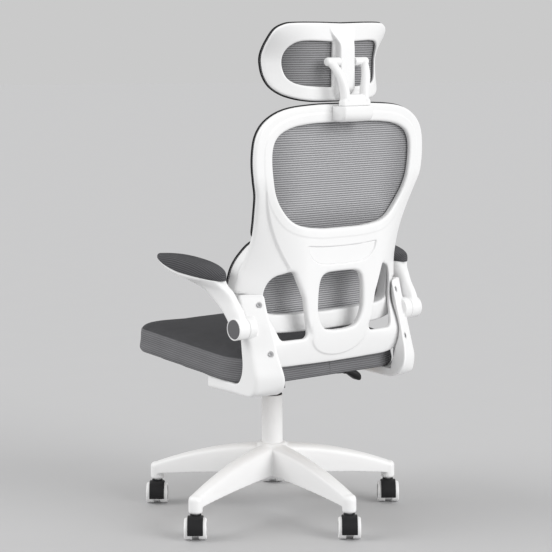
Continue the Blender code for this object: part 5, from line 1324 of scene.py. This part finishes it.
class CHAIR_OT_cushion(bpy.types.Operator):
    """Builds the boxed seat cushion, puffs it up, and sews its piping and rear seam on"""

    bl_idname = "chair.cushion"
    bl_label = "Seat cushion"

    def execute(self, context):
        s = context.scene.chair_seat
        loop = seat_loop(200)
        steps = [(s.pan_inset, 1.0, s.pan), (s.pan_inset, 1.0, 0.0), (0.010, 1.0, 0.0), (0.005, 1.0, 0.002)]
        steps += [(0.003, 1.0, 0.008), (0.003, 1.0, 0.020), (0.003, 1.0, 0.040), (0.003, 1.0, s.edge - 0.020)]
        shoulder = ((0.0045, 0.0130), (0.0085, 0.0068), (0.0135, 0.0028))
        steps += [(inset, 1.0, s.edge - below) for inset, below in shoulder]
        for scale in np.linspace(1.0, 0.05, 24):
            rise = (s.crown - 0.002) * (1.0 - scale**2.2)
            steps.append((0.0195, scale, s.edge - 0.0005 + rise))
        mesh = mesh_of("seat_cushion_soft", loft(seat_rings(loop, steps)))

        def over(points):
            """Height of each point over the seat's underside."""
            local = points - COLUMN
            return local[:, 2] - seat_under(local[:, 1])

        made = puffed("seat_cushion_soft", mesh, PUFF_PRESSURE, PUFF_LIMIT, lambda at: over(at) < HELD_BELOW)
        ease = ("SMOOTH", {"factor": 0.4, "iterations": 3})
        finer = ("SUBSURF", {"levels": 1, "render_levels": 1})
        made = worked("seat_cushion_soft", made, [ease, finer])
        start, end = (s.edge - depth for depth in TOP_CLOTH)
        marked(made, "top", eased(start, end, over(points_of(made))))
        tints = context.scene.chair_colours
        look = cloth_look("seat_weave", tints.cloth, 0.0048, 0.48, s.slope, tints.cloth_top)
        cushion = show("seat_cushion_soft", made, look, "seat", ["seat_cushion"])

        tree = BVHTree.FromPolygons([v.co for v in made.vertices], [tuple(p.vertices) for p in made.polygons])

        def laid(path, sink):
            """The path carried onto the cushion's skin and sunk a little into it."""
            places = []
            for point in np.asarray(path, float) + COLUMN:
                spot, normal, _, _ = tree.find_nearest(Vector(point))
                places.append(np.array(spot - normal * sink) - COLUMN)
            return np.array(places)

        welt = seat_rings(seat_loop(420), [(WELT_INSET, 1.0, s.edge - WELT_DEPTH)])[0]
        welt = laid(welt, 0.55 * s.welt)
        welt = (np.roll(welt, 1, axis=0) + 2.0 * welt + np.roll(welt, -1, axis=0)) / 4.0
        thread = cloth_look("seat_welt", tints.cloth, 0.0042, 0.2, s.slope)
        show("seat_welt", tube(welt, s.welt, 10, True), thread, "seat")
        heights = np.linspace(0.006, s.edge - 0.015, 14)
        rear = np.full(len(heights), s.rear)
        seam = laid(np.column_stack([np.zeros(len(heights)), rear, seat_under(rear) + heights]), 0.2 * s.welt)
        show("seat_rear_seam", tube(seam, 0.6 * s.welt, 8), thread, "seat")
        return {"FINISHED"}


def limb_rear(x, z):
    """Rear face of a bracket's limb, which looks backwards and outwards."""
    return LIMB_REAR - LIMB_LEAN * (z - LIMB_PLACE[1]) - LIMB_SLANT * (x - LIMB_PLACE[0])


def eased_corners(ring, radii):
    """A ring whose corners are each replaced by a short quadratic curve."""
    made = []
    for k, corner in enumerate(ring):
        if radii[k] == 0.0:
            made.append(corner)
            continue
        before, after = ring[k - 1] - corner, ring[(k + 1) % len(ring)] - corner
        reach = min(radii[k], 0.42 * np.linalg.norm(before), 0.42 * np.linalg.norm(after))
        start = corner + before / np.linalg.norm(before) * reach
        end = corner + after / np.linalg.norm(after) * reach
        for t in np.linspace(0.0, 1.0, 5):
            made.append((1 - t) ** 2 * start + 2 * t * (1 - t) * corner + t**2 * end)
    return np.array(made)


def bracket_rings(s):
    """Sections of the left bracket from the front of its foot, round its heel and up its limb.

    Corners in order: outer rear, inner rear, three along the frame, inner lip, outer lip.
    """
    inner, near_shelf, far_shelf, lip, bend = 0.172, 0.185, 0.196, 0.2045, 0.412
    rings = []
    for y in (s.front, 0.11, 0.15):
        top = float(seat_under(y)) - GAP
        across = ((s.outer, s.bottom), (inner, s.bottom), (inner, top), (near_shelf, top), (far_shelf, top))
        rings.append([(x, y, z) for x, z in across + ((lip + 0.003, top), (s.outer, top))])
    heel, toe, tuck, corner = 0.19, 0.165, 0.2265, 0.2045
    shelf = float(seat_under(heel)) - GAP
    under = float(seat_under(tuck)) - 2.0 * GAP
    along = [
        [(inner, heel, shelf), (near_shelf, heel, shelf), (far_shelf, heel, shelf)]
        + [(lip + 0.003, heel - 0.005, shelf)],
        [(0.1745, tuck, under), (0.186, tuck, under), (lip - 0.001, tuck, under)]
        + [(lip, corner, float(seat_under(corner)) - 2.0 * GAP)],
        [(0.1755, 0.2305, 0.372), (0.187, 0.2297, 0.372), (lip, 0.2287, 0.372), (lip, corner, 0.373)],
        [(0.1765, 0.2345, 0.385), (0.188, 0.233, 0.385), (lip, 0.231, 0.385), (lip, corner, 0.385)],
    ]
    outer_heel = ((0.2155, s.bottom), (0.2305, 0.3445), (0.2415, 0.3555), (0.247, 0.386))
    inner_heel = ((inner - 0.003, 0.226, s.bottom), (0.1710, 0.2540, 0.3475))
    inner_heel += ((0.1735, 0.2720, 0.365), (0.177, 0.2775, 0.386))
    for degrees, outside, within, seat_side in zip((0.0, 28.0, 48.0, 66.0), outer_heel, inner_heel, along):
        sine, cosine = math.sin(math.radians(degrees)), math.cos(math.radians(degrees))
        rise = bend - (bend - float(seat_under(toe)) + GAP) * cosine
        rings.append([(s.outer, *outside), within, *seat_side, (s.outer, toe + (0.195 - toe) * sine, rise)])
    for z in (bend, 0.435, 0.46, 0.485, 0.51, 0.535, s.top - 0.005):
        near = float(np.interp(z, (bend, 0.447, 0.49, s.top), (0.1815, 0.1855, 0.187, 0.1895)))
        rim = float(np.interp(z, (0.44, 0.50), (lip, 0.2178)))
        front = float(np.interp(z, (bend, s.top), (0.195, 0.181)))
        turn = float(np.interp(z, (0.435, 0.46), (corner, front)))
        corners = [(s.outer, limb_rear(s.outer, z), z), (near, limb_rear(near, z), z)]
        for x in (near, (near + rim) / 2.0, rim):
            corners.append((x, min(float(back_rear(x, z)) + 0.0041, limb_rear(x, z) - 0.0024), z))
        rings.append(corners + [(rim, turn, z), (s.outer, front, z)])
    radii = (0.009, 0.007, 0.0, 0.0, 0.0, 0.0, 0.006)
    rings = np.array([eased_corners(np.array(ring), radii) for ring in rings])
    count = rings.shape[1]
    fine = curve_through(rings.reshape(len(rings), -1), 5).reshape(-1, count, 3)
    end = fine[-1].mean(axis=0) + (fine[-1] - fine[-1].mean(axis=0)) * 0.9
    end[:, 2] = s.top
    return np.concatenate([fine, end[None]])


class CHAIR_OT_brackets(bpy.types.Operator):
    """Moulds the two brackets that join seat, back and arms, and sets their bolts in counterbores"""

    bl_idname = "chair.brackets"
    bl_label = "Brackets and bolts"

    def execute(self, context):
        s = context.scene.chair_arms
        rings = bracket_rings(s)
        zinc = moulded("zinc_plate", (0.45, 0.45, 0.46), 0.4, 0.2, 1.0)
        for name, side in SIDES:
            boss = [(0.0, BOSS_ROOT), (s.hub, BOSS_ROOT), (s.hub, BOSS_FACE - 0.0005)]
            boss += [(s.hub - 0.0008, BOSS_FACE), (0.0, BOSS_FACE)]
            shapes = [loft(rings * (side, 1.0, 1.0)), turned(boss, side, 48, (0.0, s.pivot_y, s.pivot_z))]
            mesh = fused(f"bracket_shell_{name}", shapes, 0.0014, 5)
            out = Vector((side * LIMB_SLANT, 1.0, LIMB_LEAN)).normalized()
            holes, bolts = [], []
            for x, z in BOLTS:
                place = Vector((side * x, limb_rear(x, z), z))
                turn = np.array(Matrix.Translation(place) @ out.to_track_quat("Z", "Y").to_matrix().to_4x4())
                bore = [(0.0, -0.0026), (1.45 * s.bolt, -0.0026), (1.5 * s.bolt, 0.02), (0.0, 0.02)]
                holes.append(placed(lathe(bore, 40), turn))
                head = [(0.0, -0.0040), (s.bolt, -0.0040), (s.bolt, -0.0008), (0.86 * s.bolt, 0.0)]
                head += [(0.52 * s.bolt, 0.0), (0.50 * s.bolt, -0.0022), (0.0, -0.0026)]
                bolts.append(placed(lathe(head, 36), turn))
            shell = drilled(f"bracket_shell_{name}", mesh, holes)
            show(shell.name, shell, white_look(), "seat", [f"bracket_{name}"], 50.0)
            show(f"bracket_bolts_{name}", together(*bolts), zinc, "seat", sharp=35.0)
        return {"FINISHED"}


class CHAIR_OT_arms(bpy.types.Operator):
    """Moulds the two flip-up arms with their hub rims and caps, and upholsters their pads"""

    bl_idname = "chair.arms"
    bl_label = "Arms and pads"

    def execute(self, context):
        s = context.scene.chair_arms
        tints = context.scene.chair_colours
        middle = self.middle(s)
        tilt = math.tan(s.pad_slope)
        flange = s.pad_under + (s.pad_rear - middle) * tilt - GAP
        last = (flange, s.pad_front + 0.012, s.pad_rear - 0.006, s.pad_x, 0.029, 1.0)
        nearly = (flange - 0.0035, s.pad_front + 0.016, s.pad_rear - 0.006, s.pad_x, 0.0275, 1.0)
        turn = 2.0 * np.pi * (np.arange(48) + 0.5) / 48
        across = np.sign(np.cos(turn)) * np.abs(np.cos(turn)) ** 0.6
        along = np.sign(np.sin(turn)) * np.abs(np.sin(turn)) ** 0.75
        rings = []
        for height, front, rear, x, half, share in curve_through(ARM_SECTIONS + (nearly, last), 8):
            y = (front + rear) / 2.0 + along * (rear - front) / 2.0
            z = height + share * ((front + rear) / 2.0 - y) * tilt + share**6 * self.lift(s, y)
            rings.append(np.column_stack([x + half * across, y, z]))
        rings, tray = np.array(rings), self.tray_rings(s)
        centre = (0.0, s.pivot_y, s.pivot_z)
        start = BOSS_FACE + GAP
        rim = s.hub_outer
        for name, side in SIDES:
            body = f"arm_{name}"
            hub = [(0.0, start), (s.hub - 0.0006, start), (s.hub, start + 0.001)]
            hub += [(s.hub - 0.0003, rim - 0.004), (0.0, rim - 0.004)]
            shapes = [loft(made * (side, 1.0, 1.0)) for made in (rings, tray)]
            shapes.append(turned(hub, side, 56, centre))
            mesh = fused(f"arm_shell_{name}", shapes, 0.0012, 5)
            show(f"arm_shell_{name}", mesh, white_look(), body, [f"arm_{name}"])
            bore = s.hub - 0.0030
            ring = [(bore, rim - 0.006), (s.hub, rim - 0.006), (s.hub, rim - 0.001), (s.hub - 0.0008, rim)]
            ring = turned(ring + [(s.hub - 0.0025, rim), (bore, rim - 0.0008)], side, 72, centre)
            show(f"hub_rim_{name}", ring, white_look(), body, sharp=40.0)
            edge = bore - GAP
            cap = [(0.0, rim - s.cap), (edge, rim - s.cap), (edge, rim - 0.0008), (edge - 0.0008, rim)]
            cap = turned(cap + [(0.0, rim + GAP)], side, 72, centre)
            look = moulded("cap_plastic", (0.11, 0.11, 0.115), 0.55, 0.2)
            show(f"cap_{name}", cap, look, body, [f"hub_cap_{name}"], 40.0)
            soft = self.pad_rings(s) * (side, 1.0, 1.0)
            pad = show(
                f"pad_soft_{name}",
                marked(mesh_of(f"pad_soft_{name}", loft(soft)), "across", self.pad_across(soft)),
                cloth_look("pad_cloth", tints.pad, 0.0048, 0.8, s.pad_slope, None, True),
                body,
                [f"arm_pad_{name}"],
            )
        return {"FINISHED"}

    def middle(self, s):
        """Middle of the pad's length."""
        return (s.pad_front + s.pad_rear) / 2.0

    def lift(self, s, y):
        """How far the pad's underside turns up in front: 16 mm x t^1.6, with t along its front half."""
        middle = self.middle(s)
        return 0.016 * np.clip((middle - y) / (middle - s.pad_front), 0.0, 1.0) ** 1.6

    def pad_rings(self, s):
        """P(t, k): section k of the pad at share t = sin a of its length, a from -84 to 84 degrees.

        half(t) = half sqrt(1 - |t|^p) (1 - 0.09 (t + 1)), with p = 2.1 in front and 2.8 behind;
        tall(t) = thick (1 - t^2 / 3) less the lift in front, and thick (1 - 0.45 t^3) behind.
        """
        right = [(0.0, 0.0), (0.80, 0.0), (0.97, 0.12), (1.0, 0.34), (0.94, 0.66), (0.68, 0.91), (0.0, 1.0)]
        form = mirrored_loop(curve_through(right, 6))
        rings = []
        for t in np.sin(np.radians(np.linspace(-84.0, 84.0, 56))):
            y, half, base = self.pad_place(s, t)
            tall = s.pad_thick * (1.0 - (t**2 / 3.0 if t < 0.0 else 0.45 * t**3)) - float(self.lift(s, y))
            rings.append(section(form * (half, tall) + (s.pad_x, base), 1, y))
        return np.array(rings)

    def pad_across(self, rings):
        """Distance of each point from the pad's crest, along its section, on which the ribs are spaced."""
        step = np.linalg.norm(rings - np.roll(rings, 1, axis=1), axis=2)
        step[:, 0] = 0.0
        run = np.cumsum(step, axis=1)
        crest = rings[len(rings) // 2, :, 2].argmax()
        return np.abs(run - run[:, crest : crest + 1]).ravel()

    def pad_place(self, s, t):
        """Where the pad's section at share t lies, its half width and the height of its underside."""
        y = self.middle(s) + t * (s.pad_rear - s.pad_front) / 2.0
        half = s.pad_half * math.sqrt(1.0 - abs(t) ** (2.1 if t < 0.0 else 2.8)) * (1.0 - 0.09 * (t + 1.0))
        return y, half, s.pad_under + (s.pad_rear - y) * math.tan(s.pad_slope) + float(self.lift(s, y))

    def tray_rings(self, s):
        """Sections of the white tray under the pad, 3 mm deep at its tip and 11 mm deep at mid length."""
        rings = []
        for t in np.sin(np.radians(np.linspace(-82.0, 62.0, 40))):
            y, half, base = self.pad_place(s, t)
            wide, narrow, deep = 0.97 * half, 0.72 * half, 0.003 + 0.008 * (1.0 - t**2)
            high, low = base - GAP, base - GAP - deep
            ring = rounded([(-narrow, low), (narrow, low), (wide, high), (-wide, high)], [0.25 * deep] * 4, 4)
            rings.append(section(ring + (s.pad_x, 0.0), 1, y))
        return np.array(rings)


def leg_turn(k):
    """Direction of leg k of the base."""
    return math.radians(90.0) + bpy.context.scene.chair_base.turn + 2.0 * math.pi * k / LEGS


class CHAIR_OT_base(bpy.types.Operator):
    """Moulds the five-legged base, and turns the lift's tube, bush and cylinder"""

    bl_idname = "chair.base"
    bl_label = "Star base and lift"

    def execute(self, context):
        s = context.scene.chair_base
        flare = s.hub + 0.005
        hub = [(0.0, s.hub_bottom), (flare - 0.002, s.hub_bottom), (flare, s.hub_bottom + 0.004)]
        hub += [(s.hub, s.hub_top - 0.012), (s.hub - 0.003, s.hub_top - 0.002)]
        hub += [(s.hub - 0.006, s.hub_top), (0.0, s.hub_top)]
        sleeve = [(0.0, s.end_bottom), (s.sleeve - 0.002, s.end_bottom), (s.sleeve, s.end_bottom + 0.003)]
        sleeve += [(s.sleeve, s.end_top - 0.010), (0.9 * s.sleeve, s.end_top - 0.0045)]
        sleeve += [(0.66 * s.sleeve, s.end_top - 0.0005), (0.0, s.end_top + 0.0008)]
        shapes = [lathe(hub, 64)]
        leg = self.leg_rings(s)
        for k in range(LEGS):
            turn = Matrix.Rotation(leg_turn(k), 3, "Z")
            shapes.append(placed(loft(leg), turn))
            shapes.append(placed(lathe(sleeve, 40, (s.circle, 0.0, 0.0)), turn))
        mesh = fused("base_shell", shapes, s.voxel, 5)
        show("base_shell", mesh, white_look(), "base", ["star_base"])
        low, inner = 0.084, s.tube - 0.0025
        pipe = [(s.tube, low), (s.tube, s.tube_top - 0.0006), (s.tube - 0.0006, s.tube_top)]
        pipe += [(inner, s.tube_top), (inner, low)]
        show("tube_shell", lathe(pipe, 72), white_look(), "base", ["gas_lift_tube"], 40.0)
        slide = s.cylinder + 0.0004
        foot, lip = s.tube_top - 0.075, s.tube_top + 0.0026
        collar = [(slide, foot), (inner - GAP, foot), (inner - GAP, s.tube_top + GAP)]
        collar += [(s.tube - 0.0004, s.tube_top + GAP), (s.tube - 0.0012, lip), (slide, lip)]
        show("bush_shell", lathe(collar, 72), black_look(), "base", ["guide_bush"], 40.0)
        foot, top, well, bore = 0.135, 0.316, 0.298, 0.0045
        rod = [(0.0, foot), (s.cylinder, foot), (s.cylinder, top - 0.006), (s.cylinder - 0.001, top)]
        rod += [(bore, top), (bore, well), (0.0, well)]
        look = moulded("cylinder_black", context.scene.chair_colours.black, 0.22, 0.2)
        show("cylinder_shell", lathe(rod, 64), look, "lift", ["gas_cylinder"], 40.0)
        return {"FINISHED"}

    def leg_rings(self, s):
        """P(r, k): section k of a leg at share r of its length; the top droops by 0.35 r + 0.65 r^2."""
        start = 0.75 * s.hub
        rings = []
        for share in np.linspace(0.0, 1.0, 36):
            droop = 0.35 * share + 0.65 * share**2
            top = s.root_top + (s.end_top - s.root_top) * droop
            low = s.root_bottom + (s.end_bottom + 0.013 - s.root_bottom) * droop
            half = s.root_half + (s.end_half - s.root_half) * share
            tall = top - low
            hollow = 0.002 + 0.55 * tall * min(1.0, share / 0.2) * min(1.0, (1.0 - share) / 0.2)
            slot = half - s.wall
            right = [(half, low), (0.985 * half, low + 0.3 * tall), (0.95 * half, low + 0.62 * tall)]
            right += [(0.84 * half, low + 0.88 * tall), (0.5 * half, top), (0.0, top + 0.0025)]
            right = curve_through(right, 5)
            under = [(slot - 0.002, low + hollow), (slot, low)]
            ring = [(-a, z) for a, z in right] + [tuple(p) for p in right[-2::-1]]
            ring += under[::-1] + [(-a, z) for a, z in under]
            rings.append(section(ring, 0, start + (s.circle - start) * share))
        return np.array(rings)


class CHAIR_OT_casters(bpy.types.Operator):
    """Builds the five twin-wheel casters: hoods with their webs, and turned wheels"""

    bl_idname = "chair.casters"
    bl_label = "Casters"

    def execute(self, context):
        s, base = context.scene.chair_casters, context.scene.chair_base
        tints = context.scene.chair_colours
        # The mask "groove" leads to a dark colour: painted shade in the groove round each wheel's hub
        tread = moulded("wheel_white", tints.white, 0.4, 0.05, 0.0, "groove", (0.05, 0.05, 0.052))
        for k in range(LEGS):
            turn = leg_turn(k)
            place = Vector((base.circle * math.cos(turn), base.circle * math.sin(turn), 0.0))
            carried = np.array(Matrix.Translation(place) @ Matrix.Rotation(s.heading, 4, "Z"))
            number = k + 1
            hood, node = placed(self.hood(s, base), carried), f"caster_hood_{number}"
            show(f"hood_shell_{number}", hood, black_look(), f"caster_{number}", [node], 40.0)
            for name, side in SIDES:
                mesh = mesh_of(f"tyre_{name}_{number}", placed(self.wheel(s, side), carried))
                self.mark(mesh, carried, s, side)
                node = f"wheel_{name}_{number}"
                show(mesh.name, mesh, tread, node, [node], 40.0)
        return {"FINISHED"}

    def hood(self, s, base):
        """A roof P(t, k) = axle + radius_k (cos t, sin t), y = across_k, with a web and a boss."""
        well = s.radius + 0.0016
        outer = well + s.wall
        low = math.asin((s.low - s.radius) / outer)
        ring = box_ring(s.hood / 2.0, well, outer, [0.0008, 0.0008, 0.0018, 0.0018], 4)
        sweep = np.linspace(low, math.radians(150.0), 40)
        roof = []
        for turn in sweep:
            x, z = s.trail + ring[:, 1] * math.cos(turn), s.radius + ring[:, 1] * math.sin(turn)
            roof.append(np.column_stack([x, ring[:, 0], z]))
        crown = outer - 0.001
        arc = np.column_stack([s.trail + crown * np.cos(sweep), s.radius + crown * np.sin(sweep)])
        outline = np.vstack([arc, [(s.trail - 0.62 * outer, s.low)]])
        web = []
        for y, inset in ((-1.0, 0.0012), (-0.86, 0.0), (0.86, 0.0), (1.0, 0.0012)):
            edge = offset_loop(outline, inset)
            web.append(section(edge, 1, y * s.web / 2.0))
        top = base.end_bottom - 2.0 * GAP - 0.0022
        neck, root = 0.0132, s.web / 2.0
        boss = [(0.0, 0.031), (root, 0.031), (root, 0.0492), (neck, 0.0498), (neck, top - 0.0008)]
        boss += [(neck - 0.0008, top), (0.0, top)]
        return together(loft(roof), loft(web), lathe(boss, 40))

    def wheel(self, s, side):
        """A wheel's profile (r, y) turned about its axle: rounded tread, rim, groove and dished hub."""
        inner = s.web / 2.0 + GAP
        outer = inner + s.width
        bore = 0.0033
        rim = ((0.0, 0.0042), (0.0011, 0.0012), (0.0032, 0.0), (0.0066, 0.0))
        groove = ((0.0072, 0.0005), (0.0076, 0.0024), (0.0092, 0.0024), (0.0096, 0.0012))
        profile = [(bore, inner), (s.radius - 0.0012, inner), (s.radius, inner + 0.0012)]
        profile += [(s.radius - inset, outer - depth) for inset, depth in rim + groove]
        profile += [(0.006, outer - 0.0006), (0.0, outer - 0.0003)]
        profile += [(0.0, outer - 0.002), (bore, outer - 0.002)]
        return turned(profile, side, 64, (s.trail, 0.0, s.radius), "Y")

    def mark(self, mesh, carried, s, side):
        """Marks the points of the groove round the hub, for its dark ring of painted shade."""
        local = (points_of(mesh) - COLUMN - carried[:3, 3]) @ carried[:3, :3]
        away = np.hypot(local[:, 0] - s.trail, local[:, 2] - s.radius)
        outer = s.web / 2.0 + GAP + s.width
        groove_shade = (away < s.radius - 0.0068) & (away > s.radius - 0.0099) & (side * local[:, 1] > outer - 0.004)
        marked(mesh, "groove", groove_shade)


class CHAIR_OT_lever(bpy.types.Operator):
    """Bends the height lever's rod and moulds its paddle"""

    bl_idname = "chair.lever"
    bl_label = "Height lever"

    def execute(self, context):
        line = [(0.012, LEVER_HIGH), (-0.05, LEVER_HIGH), (-0.085, LEVER_HIGH - 0.001)]
        line += [(-0.165, LEVER_HIGH - 0.009), (PADDLE_START + 0.012, LEVER_LOW + 0.001)]
        line += [(PADDLE_START - 0.016, LEVER_LOW)]
        path = section(curve_through(line, 8), 1, 0.0)
        path[path[:, 0] > -0.06, 2] = LEVER_HIGH
        show("lever_bar", tube(path, 0.004, 20), black_look(), "lever", ["lever_rod"], 40.0)
        form = [(0.0, 0.45, 0.45), (0.2, 0.5, 0.5), (0.45, 0.8, 0.8), (0.7, 1.0, 1.0)]
        form += [(0.88, 0.95, 0.9), (0.97, 0.76, 0.62), (1.0, 0.5, 0.35)]
        rings = []
        for share, wide, tall in curve_through(form, 6):
            rise = PADDLE_RISE * tall
            ring = box_ring(PADDLE_HALF * wide, -rise, rise, [0.85 * rise] * 4, 6)
            middle = LEVER_LOW - PADDLE_DROOP * share**1.5
            rings.append(section(ring + (0.0, middle), 0, PADDLE_START - PADDLE_LONG * share))
        show("paddle_shell", loft(rings), black_look(), "lever", ["lever_paddle"], 50.0)
        return {"FINISHED"}


class CHAIR_OT_hidden_parts(bpy.types.Operator):
    """Gives the CAD pieces that stay in sight their finishes"""

    bl_idname = "chair.hidden_parts"
    bl_label = "Finishes of the CAD pieces"

    def execute(self, context):
        tints = context.scene.chair_colours
        looks = dict.fromkeys(STEEL_NODES, steel_look())
        looks["valve_button"] = moulded("valve_plastic", tints.red, 0.5, 0.2)
        looks["seat_pan"] = moulded("pan_plywood", tints.board, 0.8, 0.5)
        pressed = moulded("painted_black", tints.black, 0.55, 0.3)
        for name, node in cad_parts.items():
            if node.hide_render:
                continue
            node.data.materials.clear()
            node.data.materials.append(looks.get(name, pressed))
        return {"FINISHED"}


class CHAIR_OT_stage(bpy.types.Operator):
    """Sets the pale studio floor, the soft lamps and the camera at the photograph's angle"""

    bl_idname = "chair.stage"
    bl_label = "Studio stage"

    def execute(self, context):
        tints = context.scene.chair_colours
        turn = full_turn(96)
        radii = np.concatenate([np.linspace(0.5, 4.0, 8), [8.0, 20.0, 40.0]])
        sunk = np.full(96, -0.0004)
        rings = [np.column_stack([r * np.cos(turn), r * np.sin(turn), sunk]) for r in radii]
        mesh = mesh_of("studio_floor", (np.vstack(rings), [quads(len(radii), 96), np.arange(96)[None, :]]))
        made, graph, shader = blank("studio_floor")
        out = graph.use(grain_group(), Colour=(*tints.floor, 1.0), Roughness=0.75, Spread=0.015)
        graph.feed(shader.inputs["Base Color"], out["Colour"])
        graph.feed(shader.inputs["Roughness"], out["Roughness"])
        shader.inputs["Specular IOR Level"].default_value = 0.0
        mesh.materials.append(made)
        floor = linked("studio_floor", mesh)

        right = Vector((math.cos(CAMERA_AZIMUTH), math.sin(CAMERA_AZIMUTH), 0.0))
        level = Vector((right.y, -right.x, 0.0))
        back = level * math.cos(CAMERA_ELEVATION) + Vector((0.0, 0.0, math.sin(CAMERA_ELEVATION)))
        up = back.cross(right)
        target = Vector(COLUMN) + Vector((0.0, 0.0, TARGET_HEIGHT)) + right * TARGET_RIGHT
        across = right * math.cos(CAMERA_ROLL) + up * math.sin(CAMERA_ROLL)
        above = up * math.cos(CAMERA_ROLL) - right * math.sin(CAMERA_ROLL)
        lens = bpy.data.cameras.new("photo_camera")
        lens.sensor_width = SENSOR
        lens.lens = SENSOR * FOCAL_PIXELS / PICTURE_PIXELS
        lens.clip_end = 100.0
        camera = linked("photo_camera", lens)
        turn = Matrix((across, above, back)).transposed().to_4x4()
        camera.matrix_world = Matrix.Translation(target + back * CAMERA_DISTANCE) @ turn
        context.scene.camera = camera

        # Name, place beside the chair, height, spread in degrees, strength
        lamps = (
            ("key_lamp", level * 0.2 - right * 1.25, 0.75, 40.0, 1.25),
            ("fill_lamp", level * 0.7 + right * 1.05, 0.50, 40.0, 1.75),
        )
        for name, place, height, spread, strength in lamps:
            light = bpy.data.lights.new(name, "SUN")
            light.angle = math.radians(spread)
            light.energy = strength
            lamp = linked(name, light)
            lamp.location = place + Vector((0.0, 0.0, height))
            lamp.rotation_euler = (-lamp.location).to_track_quat("-Z", "Y").to_euler()

        world = bpy.data.worlds.new("studio_air")
        world.use_nodes = True
        graph = Graph(world.node_tree)
        graph.tree.nodes.clear()
        path = graph.add("ShaderNodeLightPath").outputs
        seen = graph.maths("MAXIMUM", path["Is Camera Ray"], path["Is Transmission Ray"])
        strength = graph.line(seen, -AIR_SEEN_LESS, AIR_LIGHT)
        air = graph.add("ShaderNodeBackground", Color=(1.0, 1.0, 1.0, 1.0), Strength=strength)
        graph.add("ShaderNodeOutputWorld", Surface=air.outputs[0])
        context.scene.world = world
        context.scene.view_settings.view_transform = "Standard"
        return {"FINISHED"}


class CHAIR_PT_build(bpy.types.Panel):
    """Lists the chair's pieces in the order they are built"""

    bl_idname = "CHAIR_PT_build"
    bl_label = "Mesh-back office chair"
    bl_space_type = "VIEW_3D"
    bl_region_type = "UI"
    bl_category = "Chair"

    def draw(self, context):
        for step in STEPS:
            self.layout.operator(step.bl_idname)
        for name, kind in GROUPS.items():
            box = self.layout.box()
            for key in kind.__annotations__:
                box.prop(getattr(context.scene, name), key)


STEPS = (
    CHAIR_OT_base,
    CHAIR_OT_casters,
    CHAIR_OT_lever,
    CHAIR_OT_back_frame,
    CHAIR_OT_back_net,
    CHAIR_OT_lumbar,
    CHAIR_OT_fork,
    CHAIR_OT_headrest,
    CHAIR_OT_brackets,
    CHAIR_OT_arms,
    CHAIR_OT_cushion,
    CHAIR_OT_hidden_parts,
    CHAIR_OT_stage,
)
GROUPS = {
    "chair_back": ChairBack,
    "chair_net": ChairNet,
    "chair_head": ChairHead,
    "chair_seat": ChairSeat,
    "chair_arms": ChairArms,
    "chair_base": ChairBase,
    "chair_casters": ChairCasters,
    "chair_colours": ChairColours,
}


def register():
    for name, kind in GROUPS.items():
        bpy.utils.register_class(kind)
        setattr(bpy.types.Scene, name, PointerProperty(type=kind))
    for kind in (*STEPS, CHAIR_PT_build):
        bpy.utils.register_class(kind)


def unregister():
    for kind in (CHAIR_PT_build, *STEPS[::-1]):
        bpy.utils.unregister_class(kind)
    for name, kind in GROUPS.items():
        delattr(bpy.types.Scene, name)
        bpy.utils.unregister_class(kind)


def main():
    register()
    for step in STEPS:
        family, name = step.bl_idname.split(".")
        getattr(getattr(bpy.ops, family), name)()


if __name__ == "__main__":
    main()
